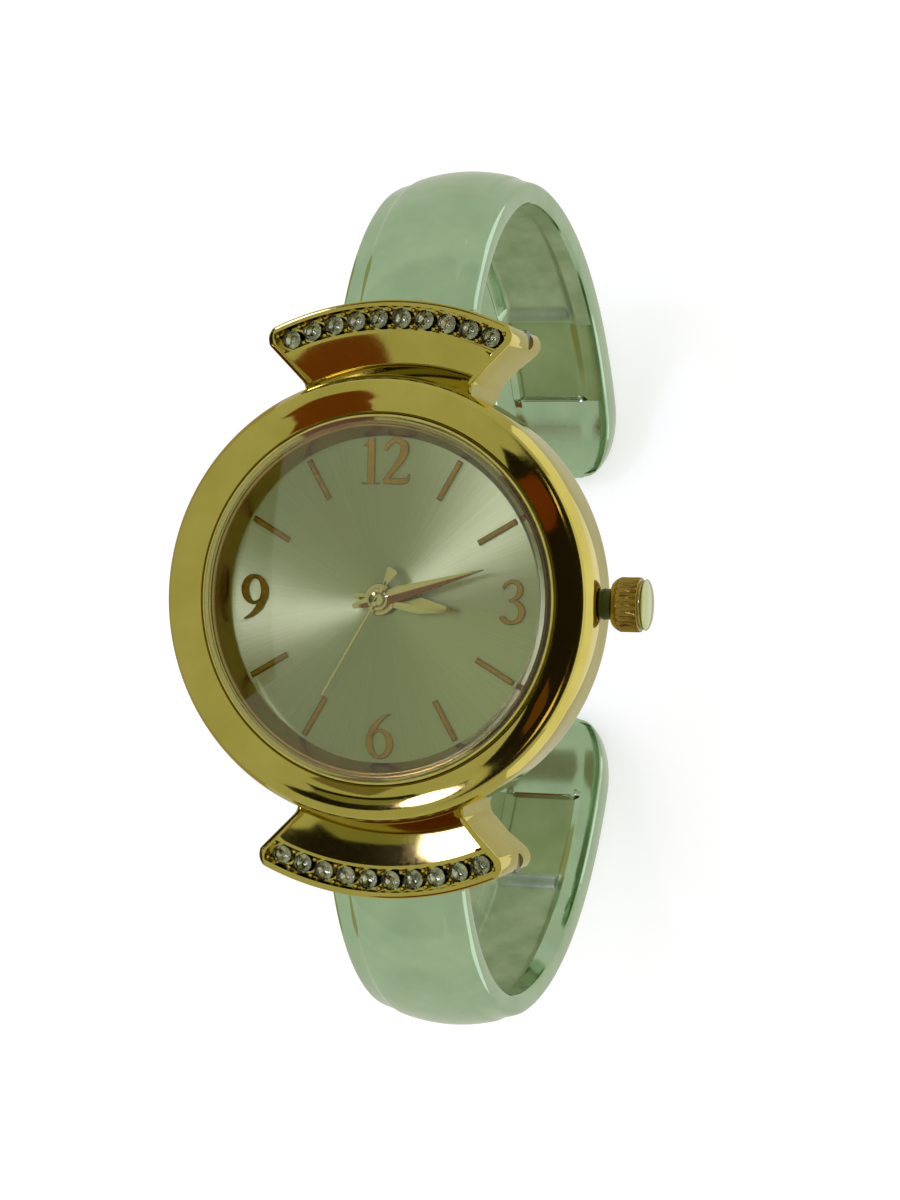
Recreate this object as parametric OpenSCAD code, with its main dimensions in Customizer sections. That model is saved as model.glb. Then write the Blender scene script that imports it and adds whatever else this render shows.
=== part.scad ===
// Hinged cuff watch: a round quartz watch head on two sprung bangle arms
// Frame: +Z out of the dial, +Y to twelve o'clock, +X to three o'clock
// Zero is the middle of the back's outer face

/* [Case] */
// Width of the bezel outside the glass
bezel_w = 3; // [2.6:0.1:4]
// Width of the round bead outside the bezel's crease
bead_w = 0.95; // [0.8:0.05:1.2]
// Height of the bezel lip above the back
lip_z = 6.6; // [6.3:0.1:7.4]
// How far the case band stands inside the bezel lip
band_step = 0.1; // [0.05:0.05:0.3]
// Width of the case's ledge over the movement ring
seat_w = 0.55; // [0.4:0.05:0.8]
// Diameter of the glass
crystal_d = 26; // [22:0.2:32]
// Thickness of the glass
crystal_t = 1; // [0.8:0.1:1.2]
// Width of the bevel round the glass
crystal_bevel = 0.55; // [0.2:0.05:0.8]
// Thickness of the flat part of the back
back_t = 0.9; // [0.7:0.1:1.1]

/* [Dial and hands] */
// Diameter of the dial plate
dial_d = 27; // [24:0.1:31]
// Thickness of the dial plate
dial_t = 0.4; // [0.3:0.05:0.5]
// Width of the sloping ring round the dial, out to the glass's edge
ring_w = 1.3; // [1.1:0.05:1.6]
// Gap between a baton and the sloping ring
baton_edge = 0.25; // [0.1:0.05:0.8]
// Length of a baton
baton_l = 3.2; // [2:0.1:3.6]
// Width of a baton
baton_w = 0.42; // [0.3:0.02:0.6]
// Height of the batons and numerals above the dial
applied_h = 0.2; // [0.1:0.05:0.3]
// Height of a numeral
numeral_h = 3.2; // [2.6:0.1:3.4]
// Gap between a numeral and the sloping ring
numeral_edge = 0.3; // [0.2:0.05:0.6]
// Length of the hour hand from the centre
hour_l = 5.95; // [5:0.05:6.6]
// Length of the minute hand from the centre
minute_l = 8.2; // [7.4:0.1:9]
// Length of the second hand from the centre
second_l = 8; // [7.4:0.1:9]

/* [Lugs] */
// Distance of a lug's outer arc from the bezel lip
lug_reach = 5.5; // [5:0.1:7]
// Half width of a lug where it meets the bezel lip
lug_root = 5.9; // [5.7:0.1:6.4]
// Depth of a lug's top edge below the bezel lip
lug_drop = 1.5; // [1.3:0.1:1.9]
// Depth of the scoop in a lug's top
scoop = 0.75; // [0.3:0.05:0.9]
// Rounding of a lug's outer corners
lug_corner = 1; // [0.6:0.1:1.4]
// Stones in each lug
stone_n = 10; // [8:1:11]
// Diameter of a stone
stone_d = 1.4; // [1.2:0.05:1.5]
// Distance from one stone to the next
stone_pitch = 1.717; // [1.55:0.01:1.73]

/* [Cuff arms] */
// Width of an arm
arm_w = 10.3; // [9.6:0.1:10.6]
// Height of an arm's side wall near its hinge
side_h = 1.9; // [1.6:0.1:2.2]
// Height of the crowned panel above the arm's edge
arm_crown = 0.75; // [0.5:0.05:0.9]
// Width of the low border beside the panel
border_w = 1.55; // [1.2:0.05:2]
// Width of the inner rims beside the hollow
rim_w = 1.7; // [1.3:0.1:2]
// Metal left above the hollow
web_t = 0.9; // [0.7:0.05:1.1]
// Thickness of the rounded end
nose_t = 3.7; // [3.2:0.1:4.2]
// Distance of an arm's outermost edge from its lug's outer arc
arm_out = 11.7; // [10.9:0.1:13.5]
// Radius of the bend beside the case
bend_near = 19.5; // [19:0.5:21]
// Radius of the bend under the wrist
bend_far = 31; // [29:0.5:33]
// Gap between the two rounded ends
tip_gap = 22.8; // [18:0.2:28]

/* [Hinges] */
// Diameter of a hinge pin
pin_d = 1.4; // [1.2:0.1:1.5]
// Distance of a hinge pin behind the lug's outer arc
pin_back = 2.5; // [2.4:0.1:2.7]
// Height of the hinge pins above the back
pin_z = 0.1; // [0:0.1:0.3]
// Radius of the arm's knuckle
knuckle_r = 2.3; // [2.1:0.1:2.4]
// Wire diameter of the hinge springs
wire_d = 0.4; // [0.3:0.05:0.5]
// Coils in a hinge spring
coil_n = 7; // [4:1:8]
// Running clearance of the hinge
hinge_gap = 0.05; // [0.03:0.01:0.08]
// Side clearance of an arm in its lug
side_gap = 0.2; // [0.15:0.05:0.3]

/* [Crown] */
// Diameter of the crown
crown_d = 3.9; // [3.4:0.1:4.2]
// Length of the crown without its dome
crown_l = 2.5; // [2.2:0.1:3]
// Flutes round the crown
flute_n = 24; // [18:1:28]
// Gap between the case and the crown
crown_gap = 0.6; // [0.4:0.1:0.8]
// Travel of the crown when it is pulled
crown_pull = 0.9; // [0.6:0.1:1]
// Diameter of the stem
stem_d = 0.9; // [0.8:0.05:1]
// Outside diameter of the stem tube
tube_d = 2.2; // [2:0.1:2.3]

/* [Movement] */
// Height of the stem above the back
stem_z = 3; // [2.9:0.05:3.1]
// Long measure of the movement
move_l = 17.8; // [16:0.1:19.6]
// Short measure of the movement
move_w = 15.3; // [13.8:0.1:16.8]
// Thickness of the movement
move_t = 3; // [2.9:0.05:3.1]
// Thickness of the battery
battery_t = 2.1; // [1.9:0.05:2.15]

/* [Hidden] */
$fn = 96;
// Clearances that recur
fit = 0.05;
eps = 0.01;

// Case places: the case and its bore grow round the wider of the glass and the dial
case_d = max(crystal_d, dial_d - 1) + 2*bezel_w;
dial_open_d = min(crystal_d - 2*ring_w, dial_d - 2*ring_w - 1);
band_r = case_d/2 - band_step;
dial_z = lip_z - 1.6;
seat_z = dial_z - dial_t;
glass_z = lip_z + 0.1;
glass_top = glass_z + crystal_t;
shoulder_z = glass_z - 0.38;
ring_out = max(dial_d/2, crystal_d/2 - 0.2);
bore_r = ring_out + seat_w;
dial_bore_r = ring_out + 2*fit;
bezel_in = crystal_d/2 + 0.15;
groove_r = band_r - 0.9;
band_round = 1.1;
skirt_t = 0.38;
glass_lap = 0.45;

// Bezel: an inner band and an outer bead meet in a crease, and each is set by the lean at its two ends
crease_r = case_d/2 - bead_w;
lip_rise = 0.05;
bead_lean = [30, 65];
band_lean = [4, 30];
bead_r = bead_w/(sin(bead_lean[1]) - sin(bead_lean[0]));
crease_z = lip_z + lip_rise + bead_r*(cos(bead_lean[0]) - cos(bead_lean[1]));
band_w = crease_r - bezel_in - 0.2;
band_bend = band_w/(sin(band_lean[1]) - sin(band_lean[0]));

// Arbors that the hands sit on
second_pin = 0.16;
cannon_r = 0.36;
cannon_out = 0.62;
hour_out = 0.95;

// Marks and hands on the dial
ring_slope = 0.62;
ring_top = crystal_d/2 - glass_lap - fit;
dial_hole = hour_out + 0.1;
foot_r = move_l/2 - 0.9;
baton_r = dial_open_d/2 - baton_edge;
numeral_r = dial_open_d/2 - numeral_edge - numeral_h/2;

// Lug heights and places
lug_r = case_d/2 + lug_reach;
lug_in = bore_r - 2.55;
lug_top = lip_z - lug_drop;
root_low = back_t + 0.3;
roof_z = lug_top - 2.1;
cheek_r = 2.7;
lug_low = pin_z - cheek_r;
channel_mid = lug_r - 1.3;
channel_half = stone_d/2 + 0.15;
scoop_out = channel_mid - channel_half - 0.3;
stone_seat = lug_top - 0.85;
stone_step = stone_pitch/channel_mid*180/PI;
lug_line = sqrt(pow(case_d/2 + 0.16, 2) - lug_root*lug_root) - lug_root;

// Hinge places
pin_y = lug_r - pin_back;
pin_half = pin_y - lug_line - pin_d/2 - 0.15;
cheek_in = arm_w/2 + side_gap;
spring_half = coil_n*wire_d*1.06/2 + 0.25;

// Arm path: two bends that share their middle height
reach_y = lug_r + arm_out;
near_y = reach_y - bend_near;
far_y = reach_y - bend_far;
pin_deep = 1.72;
path_z = pin_z - sqrt(pow(bend_near - pin_deep, 2) - pow(pin_y - near_y, 2));
start_a = atan2(pin_z - path_z, pin_y - near_y) + 2;
end_a = -acos((tip_gap/2 - far_y)/(bend_far - nose_t/2));

// Movement heights
move_z = seat_z - move_t;
plate_z = seat_z - 1;
works_z = seat_z - 0.6;
bridge_z = move_z + 0.2;
bridge_t = 0.4;
screw_r = 0.3;
gear_t = 0.15;
bridge_top = bridge_z + bridge_t;
second_gear_z = bridge_z + 0.55;
third_gear_z = bridge_z + 0.8;
centre_gear_z = bridge_z + 1.3;
step_gear_z = bridge_z + 1.08;
pinion_low = bridge_z + 0.5;
pivot_l = plate_z - bridge_top - 2*fit;

// Teeth of the wheels and of their pinions
second_n = 40;
third_n = 60;
centre_n = 64;
step_n = 48;
minute_n = 30;
cannon_n = 10;
hour_n = 32;
pinion_n = 8;

// Wheel modules, from the room that the plate leaves, and centre distances
train_room = min(move_w, move_l - 2.5);
mod_centre = train_room/191.25;
mod_third = mod_centre*(centre_n + pinion_n)/(third_n + pinion_n);
mod_second = mod_centre*1.5;
mod_step = mod_centre;
mod_works = mod_centre*1.5;
function tip_r(n, m) = m*(n/2 + 0.85);
third_a = 210;
third_r = mod_centre*(centre_n + pinion_n)/2;
step_a = -60;
step_r = mod_second*(second_n + pinion_n)/2;
rotor_a = -80;
rotor_d = 1.6;
rotor_r = mod_step*(step_n + pinion_n)/2;
works_a = 60;
works_r = mod_works*(minute_n + cannon_n)/2;
step_x = step_r*cos(step_a);
step_y = step_r*sin(step_a);
rotor_x = step_x + rotor_r*cos(rotor_a);
rotor_y = step_y + rotor_r*sin(rotor_a);
battery_d = move_l/2 - tip_r(centre_n, mod_centre) - 0.472;
battery_wall = 0.26;
battery_out = move_l/2 - battery_d/2 - battery_wall;
battery_x = -min(battery_out*cos(45), move_w/2 - battery_d/2 - battery_wall);
battery_y = sqrt(pow(battery_out, 2) - pow(battery_x, 2));
battery_z = move_z + 0.25;

// Hands as they stand in the photograph, clockwise from twelve
hour_at = 97;
minute_at = 74;
second_at = 210;
hand_gap = 0.25;
hour_z = dial_z + applied_h + hand_gap;
minute_z = hour_z + 0.42;
second_z = minute_z + 0.4;

// A ring with a square section
module ring(r_out, r_in, z0, z1) {
    translate([0, 0, z0])
        difference() {
            cylinder(h = z1 - z0, r = r_out);
            translate([0, 0, -1])
                cylinder(h = z1 - z0 + 2, r = r_in);
        }
}

// A cylinder along X
module rod_x(x0, x1, r) {
    translate([x0, 0, 0])
        rotate([0, 90, 0])
            cylinder(h = x1 - x0, r = r);
}

// Points of an arc, from angle a to angle b
function arc(cx, cy, r, a, b, n) =
    [for (i = [0:n]) let (u = a + (b - a)*i/n) [cx + r*cos(u), cy + r*sin(u)]];

// Outline of a toothed wheel with one tooth on the +X axis
function teeth(n, m) = [for (i = [0:n - 1]) for (k = [0:3])
    let (a = 360/n*(i + [-0.27, -0.12, 0.12, 0.27][k]),
        r = k == 0 || k == 3 ? m*(n/2 - 1.15) : tip_r(n, m))
    [r*cos(a), r*sin(a)]];

module gear(n, m, t, bore = 0) {
    difference() {
        linear_extrude(t)
            polygon(teeth(n, m));
        if (bore > 0)
            translate([0, 0, -1])
                cylinder(h = t + 2, r = bore);
    }
}

// Outline of a fan lug in plan, drawn in by a margin
module fan(margin = 0) {
    r = lug_r - margin;
    line = lug_line + margin*sqrt(2);
    c = line + lug_corner*sqrt(2);
    q = r - lug_corner;
    cx = (-2*c + sqrt(4*c*c - 8*(c*c - q*q)))/4;
    cy = cx + c;
    tx = cx + lug_corner*cos(45);
    ty = cy - lug_corner*sin(45);
    intersection() {
        circle(r = r);
        polygon([[line - lug_in, lug_in], [lug_in - line, lug_in], [tx, ty], [cx, cy], [cx*1.2, cy*1.2],
            [-cx*1.2, cy*1.2], [-cx, cy], [-tx, ty]]);
    }
    for (s = [-1, 1])
        translate([s*cx, cy])
            circle(r = lug_corner);
}

// Side outline of a lug, seen along X, with the cheek rounded under the pin
module lug_side() {
    polygon(concat([[lug_in, lug_top], [lug_in, root_low], [bore_r + 0.8, root_low],
        [pin_y - 2.9, lug_low + 1.5]],
        arc(pin_y, pin_z, cheek_r, 222, 345, 14),
        [[lug_r + 1, roof_z - 1], [lug_r + 1, lug_top]]));
}

// One lug on the twelve o'clock side, before the case's own bores are cut
module lug() {
    difference() {
        intersection() {
            translate([0, 0, lug_low - 1])
                linear_extrude(lug_top - lug_low + 1)
                    fan();
            rotate([90, 0, 90])
                translate([0, 0, -lug_r])
                    linear_extrude(2*lug_r)
                        lug_side();
        }
        // Scooped top between the bezel and the stones
        intersection() {
            rotate_extrude()
                polygon(concat([[case_d/2 - 1, lug_top + 1], [case_d/2 - 1, lug_top - scoop*0.6]],
                    arc(case_d/2 + 1.1, lug_top - scoop + 2.2, 2.2, 245, 308, 10),
                    [[scoop_out, lug_top], [scoop_out, lug_top + 1]]));
            linear_extrude(lug_top + 1)
                fan(0.35);
        }
        // Channel for the stones
        rotate([0, 0, 90 - stone_step*stone_n/2])
            rotate_extrude(angle = stone_step*stone_n)
                translate([channel_mid - channel_half, stone_seat])
                    square([channel_half*2, 2]);
        // Pocket for the arm's knuckle, open below and outward
        knuckle_pocket();
        // Hinge pin's hole through both cheeks
        translate([0, pin_y, pin_z])
            rod_x(-lug_r, lug_r, pin_d/2 + 0.005);
    }
}

module knuckle_pocket() {
    room = knuckle_r + 0.3;
    deep = 6;
    translate([0, pin_y, pin_z])
        rod_x(-cheek_in, cheek_in, room);
    translate([-cheek_in, pin_y - room, -deep])
        cube([cheek_in*2, lug_r, pin_z + deep]);
    translate([-cheek_in, pin_y, -deep])
        cube([cheek_in*2, lug_r, roof_z + deep]);
}

module case_body() {
    color("goldenrod")
        difference() {
            union() {
                rotate_extrude()
                    polygon(concat([[bore_r - 1, back_t], [band_r - 0.95, back_t]],
                        arc(band_r - band_round, back_t + band_round, band_round, -65, 0, 8),
                        [[band_r, lip_z - 0.2], [band_r - 0.1, lip_z - 0.12], [bore_r - 1, lip_z - 0.12]]));
                lug();
                rotate([0, 0, 180])
                    lug();
            }
            translate([0, 0, -5])
                cylinder(h = seat_z + 5, r = bore_r);
            cylinder(h = lip_z, r = dial_bore_r);
            // Groove that takes the bezel's skirt
            ring(groove_r + skirt_t + 0.04, groove_r - 0.02, lip_z - 0.95, lip_z + 1);
            translate([0, 0, stem_z])
                rod_x(bore_r/2, case_d, tube_d/2 + 0.005);
        }
}

// Points of an arc that falls away from the crease, by its lean; side is 1 outward and -1 inward
function fall(r, z, bend, lean, side, n) =
    [for (i = [0:n]) let (a = lean[0] + (lean[1] - lean[0])*i/n)
        [r + side*bend*(sin(a) - sin(lean[0])), z + bend*(cos(a) - cos(lean[0]))]];

module bezel() {
    seat_in = crystal_d/2 - glass_lap;
    bead = fall(crease_r, crease_z, bead_r, bead_lean, 1, 8);
    band = fall(crease_r, crease_z, band_bend, band_lean, -1, 8);
    lip = fall(band[8][0], band[8][1], 0.25, [30, 88], -1, 4);
    low_z = lip_z - 0.12;
    color("gold")
        rotate_extrude()
            polygon(concat([for (i = [8:-1:0]) bead[i]], [for (i = [1:8]) band[i]], [for (i = [1:4]) lip[i]],
                [[bezel_in, lip[4][1]], [bezel_in, glass_z], [seat_in, glass_z], [seat_in, shoulder_z],
                [dial_bore_r - fit, shoulder_z], [dial_bore_r - fit, low_z], [groove_r, low_z],
                [groove_r, lip_z - 0.85], [groove_r + skirt_t, lip_z - 0.85], [groove_r + skirt_t, low_z],
                [case_d/2 - 0.08, low_z], [case_d/2, lip_z - 0.05]]));
}

module crystal() {
    color([0.8, 0.9, 0.95, 0.4])
        rotate_extrude()
            polygon([[0, glass_z], [crystal_d/2, glass_z], [crystal_d/2, glass_top - 0.35],
                [crystal_d/2 - crystal_bevel, glass_top], [0, glass_top]]);
}

module crystal_gasket() {
    color("ivory")
        ring(bezel_in, crystal_d/2, glass_z, lip_z + 0.5);
}

module dial_ring() {
    color("khaki")
        rotate_extrude()
            polygon([[dial_open_d/2, dial_z], [ring_out, dial_z], [ring_out, shoulder_z - fit],
                [ring_top, shoulder_z - fit], [ring_top, glass_z - fit],
                [dial_open_d/2 + ring_slope, glass_z - fit], [dial_open_d/2, dial_z + applied_h]]);
}

module dial() {
    color("silver") {
        difference() {
            translate([0, 0, seat_z])
                cylinder(h = dial_t, r = dial_d/2);
            cylinder(h = lip_z, r = dial_hole);
        }
        for (a = [20, 200])
            rotate([0, 0, a])
                translate([0, foot_r, seat_z - 0.9])
                    cylinder(h = 0.9, r = 0.35);
    }
}

module hour_markers() {
    color("goldenrod")
        for (h = [1, 2, 4, 5, 7, 8, 10, 11])
            rotate([0, 0, -30*h])
                translate([-baton_w/2, baton_r - baton_l, dial_z])
                    cube([baton_w, baton_l, applied_h]);
}

// A numeral stroke of even steps between two widths, drawn along an arc
module bow(cx, cy, rx, ry, a, b, w0, w1, w2, n = 14) {
    function half(t) = (t < 0.5 ? w0 + (w1 - w0)*2*t : w1 + (w2 - w1)*(2*t - 1))/2;
    function at(t, w) = let (u = a + (b - a)*t) [cx + (rx + w)*cos(u), cy + (ry + w)*sin(u)];
    outer = [for (i = [0:n]) at(i/n, half(i/n))];
    inner = [for (i = [n:-1:0]) at(i/n, -half(i/n))];
    polygon(concat(outer, inner));
}

// Numerals are drawn 1 high, centred on their own middle
module one() {
    polygon([[-0.06, -0.44], [-0.06, 0.34], [-0.17, 0.3], [-0.19, 0.35], [0.04, 0.5], [0.06, 0.5],
        [0.06, -0.44], [0.18, -0.47], [0.18, -0.5], [-0.18, -0.5], [-0.18, -0.47]]);
}

module two() {
    bow(0, 0.22, 0.2, 0.23, 175, -38, 0.06, 0.08, 0.14);
    translate([-0.2, 0.21])
        circle(r = 0.07);
    polygon([[0.09, 0.03], [0.23, 0.13], [-0.12, -0.36], [0.2, -0.36], [0.27, -0.26], [0.3, -0.28],
        [0.26, -0.5], [-0.3, -0.5], [-0.3, -0.46]]);
}

module three() {
    bow(-0.02, 0.27, 0.17, 0.2, 165, -88, 0.05, 0.08, 0.05);
    bow(-0.02, -0.22, 0.22, 0.25, 95, -165, 0.05, 0.13, 0.05);
    translate([-0.18, 0.31])
        circle(r = 0.07);
    translate([-0.22, -0.28])
        circle(r = 0.08);
}

module six() {
    bow(0, -0.2, 0.2, 0.25, 0, 180, 0.13, 0.05, 0.13);
    bow(0, -0.2, 0.2, 0.25, 180, 360, 0.13, 0.05, 0.13);
    bow(0.18, -0.2, 0.38, 0.66, 182, 108, 0.13, 0.12, 0.05);
    translate([0.11, 0.41])
        circle(r = 0.07);
}

module numerals() {
    color("goldenrod") {
        translate([-0.27*numeral_h, numeral_r, dial_z])
            linear_extrude(applied_h)
                scale(numeral_h)
                    one();
        translate([0.24*numeral_h, numeral_r, dial_z])
            linear_extrude(applied_h)
                scale(numeral_h)
                    two();
        translate([numeral_r, 0, dial_z])
            linear_extrude(applied_h)
                scale(numeral_h)
                    three();
        translate([0, -numeral_r, dial_z])
            linear_extrude(applied_h)
                scale(numeral_h)
                    six();
        translate([-numeral_r, 0, dial_z])
            linear_extrude(applied_h)
                scale(numeral_h)
                    rotate([0, 0, 180])
                        six();
    }
}

// A cut stone, the top of its girdle at height zero
girdle_t = 0.08;
table_h = 0.26;
point_h = 0.5;

module stone() {
    cylinder(h = table_h, r1 = stone_d/2, r2 = stone_d*0.3, $fn = 10);
    translate([0, 0, -girdle_t])
        cylinder(h = girdle_t, r = stone_d/2, $fn = 10);
    translate([0, 0, -girdle_t - point_h])
        cylinder(h = point_h, r1 = 0.12, r2 = stone_d/2, $fn = 10);
}

module stone_row() {
    for (i = [0:stone_n - 1])
        rotate([0, 0, (i - (stone_n - 1)/2)*stone_step])
            translate([0, channel_mid, stone_seat + girdle_t + point_h])
                stone();
}

module upper_stones() {
    color("white")
        stone_row();
}

module lower_stones() {
    color("white")
        rotate([0, 0, 180])
            stone_row();
}

module case_back() {
    color("silver")
        difference() {
            rotate_extrude()
                polygon([[0, 0], [bore_r - 0.8, 0], [bore_r + 0.7, back_t - 0.25], [bore_r + 0.7, back_t],
                    [bore_r - 0.35, back_t], [bore_r - 0.35, back_t + 0.55], [bore_r - 0.95, back_t + 0.55],
                    [bore_r - 0.95, back_t], [0, back_t]]);
            // Pry notch
            rotate([0, 0, 225])
                translate([bore_r + 0.35, -1.2, back_t - 0.3])
                    cube([1, 2.4, 1]);
        }
}

module case_back_gasket() {
    color("dimgray")
        ring(bore_r, bore_r - 0.35, back_t, back_t + 0.4);
}

// Plan of the movement, a circle with two flats
module move_plan(grow = 0) {
    intersection() {
        circle(r = move_l/2 + grow);
        square([move_w + 2*grow, 2*move_l], center = true);
    }
}

module movement_ring() {
    color("whitesmoke")
        difference() {
            translate([0, 0, move_z])
                cylinder(h = move_t, r = bore_r - 0.15);
            translate([0, 0, move_z - 1])
                linear_extrude(move_t + 2)
                    move_plan(0.1);
            translate([0, 0, stem_z])
                rod_x(0, bore_r, tube_d/2 + 0.1);
            for (a = [45:90:315])
                rotate([0, 0, a])
                    translate([(bore_r + move_l/2)/2, 0, move_z - 1])
                        cylinder(h = move_t + 2, r = (bore_r - move_l/2)/5);
        }
}

crown_x = band_r + crown_gap;
hollow_l = 1.3;
stem_grip = 1.9;
seal_w = 0.12;
seal_l = 0.35;

module crown() {
    color("goldenrod")
        translate([0, 0, stem_z])
            difference() {
                rotate([0, 90, 0])
                    rotate_extrude()
                        polygon(concat([[0, crown_x + 0.02], [crown_d/2 - 0.35, crown_x],
                            [crown_d/2, crown_x + 0.45], [crown_d/2, crown_x + crown_l - 0.62],
                            [crown_d/2 - 0.2, crown_x + crown_l - 0.5],
                            [crown_d/2 - 0.2, crown_x + crown_l - 0.32],
                            [crown_d/2 - 0.06, crown_x + crown_l - 0.2]],
                            [for (a = [0:15:90])
                                [(crown_d/2 - 0.1)*cos(a), crown_x + crown_l - 0.12 + 0.3*sin(a)]]));
                // Flutes
                for (i = [0:flute_n - 1])
                    rotate([i*360/flute_n, 0, 0])
                        translate([crown_x - 1, 0, crown_d/2 + 0.06])
                            rotate([0, 90, 0])
                                cylinder(h = crown_l + 0.6, r = crown_d*0.043);
                // Hollow over the tube, and the stem's hole
                rod_x(crown_x - 1, crown_x + hollow_l, tube_d/2 + seal_w);
                rod_x(crown_x, crown_x + stem_grip, stem_d/2);
            }
}

module crown_seal() {
    color("black")
        translate([0, 0, stem_z])
            rotate([0, 90, 0])
                difference() {
                    translate([0, 0, crown_x + hollow_l - seal_l])
                        cylinder(h = seal_l, r = tube_d/2 + seal_w);
                    translate([0, 0, crown_x])
                        cylinder(h = 3, r = stem_d/2);
                }
}

stem_in = tip_r(centre_n, mod_centre) + 0.322;
groove_x = move_w/2 - 2.3;
square_w = stem_d*0.54;
square_l = 1.9;

module stem() {
    color("lightgray")
        translate([0, 0, stem_z])
            difference() {
                union() {
                    translate([stem_in, -square_w/2, -square_w/2])
                        cube([square_l, square_w, square_w]);
                    rod_x(stem_in + square_l, crown_x + stem_grip, stem_d/2);
                }
                difference() {
                    rod_x(groove_x - 0.25, groove_x + 0.25, stem_d);
                    rod_x(groove_x - 1, groove_x + 1, stem_d*0.28);
                }
            }
}

module stem_tube() {
    color("gray")
        translate([0, 0, stem_z])
            difference() {
                rod_x(bore_r - 0.1, crown_x + 0.35, tube_d/2);
                rod_x(bore_r - 1, crown_x + 2, stem_d/2 + fit);
            }
}

// A faceted hand along +Y: a thin plate with a ridge along its middle
module hand(len, tail, wide, at, tip, boss, z) {
    h = 0.13;
    rim = [[tip/2, len], [wide/2, at], [boss*0.45, 0], [0.16, -tail], [-0.16, -tail], [-boss*0.45, 0],
        [-wide/2, at], [-tip/2, len]];
    n = len(rim);
    ridge = [[0, len - tip/2, 0.24], [0, -tail + 0.3, 0.24]];
    translate([0, 0, z])
        polyhedron(points = concat([for (p = rim) [p[0], p[1], 0]], [for (p = rim) [p[0], p[1], h]], ridge),
            faces = concat([[for (i = [n - 1:-1:0]) i]],
                [for (i = [0:n - 1]) [i, (i + 1)%n, n + (i + 1)%n, n + i]],
                [for (i = [1:n - 3]) [n + i, n + i + 1, 2*n + 1]],
                [[n, n + 1, 2*n], [n + 1, 2*n + 1, 2*n], [2*n - 2, 2*n, 2*n + 1], [2*n - 2, 2*n - 1, 2*n],
                [2*n - 1, n, 2*n]]));
}

module hour_hand() {
    color("goldenrod")
        rotate([0, 0, -hour_at])
            difference() {
                union() {
                    hand(hour_l, 1.9, 1.2, 3.02, 0.3, 1.1, hour_z);
                    translate([0, 0, hour_z])
                        cylinder(h = 0.2, r = 1.15);
                }
                cylinder(h = lip_z, r = hour_out);
            }
}

module minute_hand() {
    color("goldenrod")
        rotate([0, 0, -minute_at])
            difference() {
                union() {
                    hand(minute_l, 1.95, 1.15, 0.95, 0.14, 1.1, minute_z);
                    translate([0, 0, minute_z])
                        cylinder(h = 0.2, r = 0.8);
                }
                cylinder(h = lip_z, r = cannon_out);
            }
}

module second_hand() {
    color("goldenrod")
        rotate([0, 0, -second_at])
            difference() {
                union() {
                    translate([-0.09, -1.6, second_z])
                        cube([0.18, second_l + 1.6, 0.1]);
                    translate([0, 0, second_z])
                        linear_extrude(0.1)
                            polygon([[-0.12, -1.2], [-0.45, -2.5], [0.45, -2.5], [0.12, -1.2]]);
                    translate([0, 0, second_z - 0.12])
                        cylinder(h = 0.3, r = 0.55);
                }
                translate([0, 0, -1])
                    cylinder(h = second_z + 1 + 0.08, r = second_pin);
            }
}

module second_wheel() {
    color("gold") {
        translate([0, 0, bridge_top + fit])
            cylinder(h = second_z + eps - bridge_top, r = second_pin);
        translate([0, 0, second_gear_z])
            rotate([0, 0, step_a])
                gear(second_n, mod_second, gear_t);
        translate([0, 0, second_gear_z + gear_t])
            rotate([0, 0, third_a])
                gear(pinion_n, mod_third, 0.4);
    }
}

module third_wheel() {
    color("gold")
        rotate([0, 0, third_a])
            translate([third_r, 0, 0]) {
                translate([0, 0, bridge_top + fit])
                    cylinder(h = pivot_l, r = 0.12);
                translate([0, 0, third_gear_z])
                    rotate([0, 0, 180/third_n])
                        gear(third_n, mod_third, gear_t);
                translate([0, 0, third_gear_z + gear_t])
                    gear(pinion_n, mod_centre, 0.5);
            }
}

module centre_wheel() {
    color("gold")
        difference() {
            union() {
                translate([0, 0, centre_gear_z])
                    rotate([0, 0, third_a + 180/centre_n])
                        gear(centre_n, mod_centre, gear_t);
                translate([0, 0, centre_gear_z])
                    cylinder(h = plate_z + 0.1 - centre_gear_z, r = 0.6);
                translate([0, 0, plate_z])
                    cylinder(h = works_z - plate_z + 0.05, r = cannon_r);
                translate([0, 0, works_z + 0.02])
                    rotate([0, 0, works_a])
                        gear(cannon_n, mod_works, 0.24);
                translate([0, 0, works_z])
                    cylinder(h = minute_z + 0.2 - works_z, r = cannon_r + 0.02);
                translate([0, 0, minute_z - 0.1])
                    cylinder(h = 0.32, r = cannon_out);
            }
            cylinder(h = lip_z, r = second_pin + fit);
        }
}

module minute_wheel() {
    color("gold")
        translate([works_r*cos(works_a), works_r*sin(works_a), 0])
            difference() {
                union() {
                    translate([0, 0, works_z + 0.04])
                        rotate([0, 0, works_a + 180/minute_n + 180])
                            gear(minute_n, mod_works, gear_t);
                    translate([0, 0, works_z + 0.04 + gear_t])
                        rotate([0, 0, works_a + 180])
                            gear(pinion_n, mod_works, 0.3);
                }
                cylinder(h = dial_z, r = 0.2);
            }
}

module hour_wheel() {
    color("gold")
        difference() {
            union() {
                translate([0, 0, works_z + 0.3])
                    rotate([0, 0, works_a + 180/hour_n])
                        gear(hour_n, mod_works, gear_t);
                translate([0, 0, works_z + 0.3])
                    cylinder(h = hour_z + 0.24 - works_z - 0.3, r = hour_out);
            }
            cylinder(h = lip_z, r = cannon_r + 0.08);
        }
}

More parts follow.
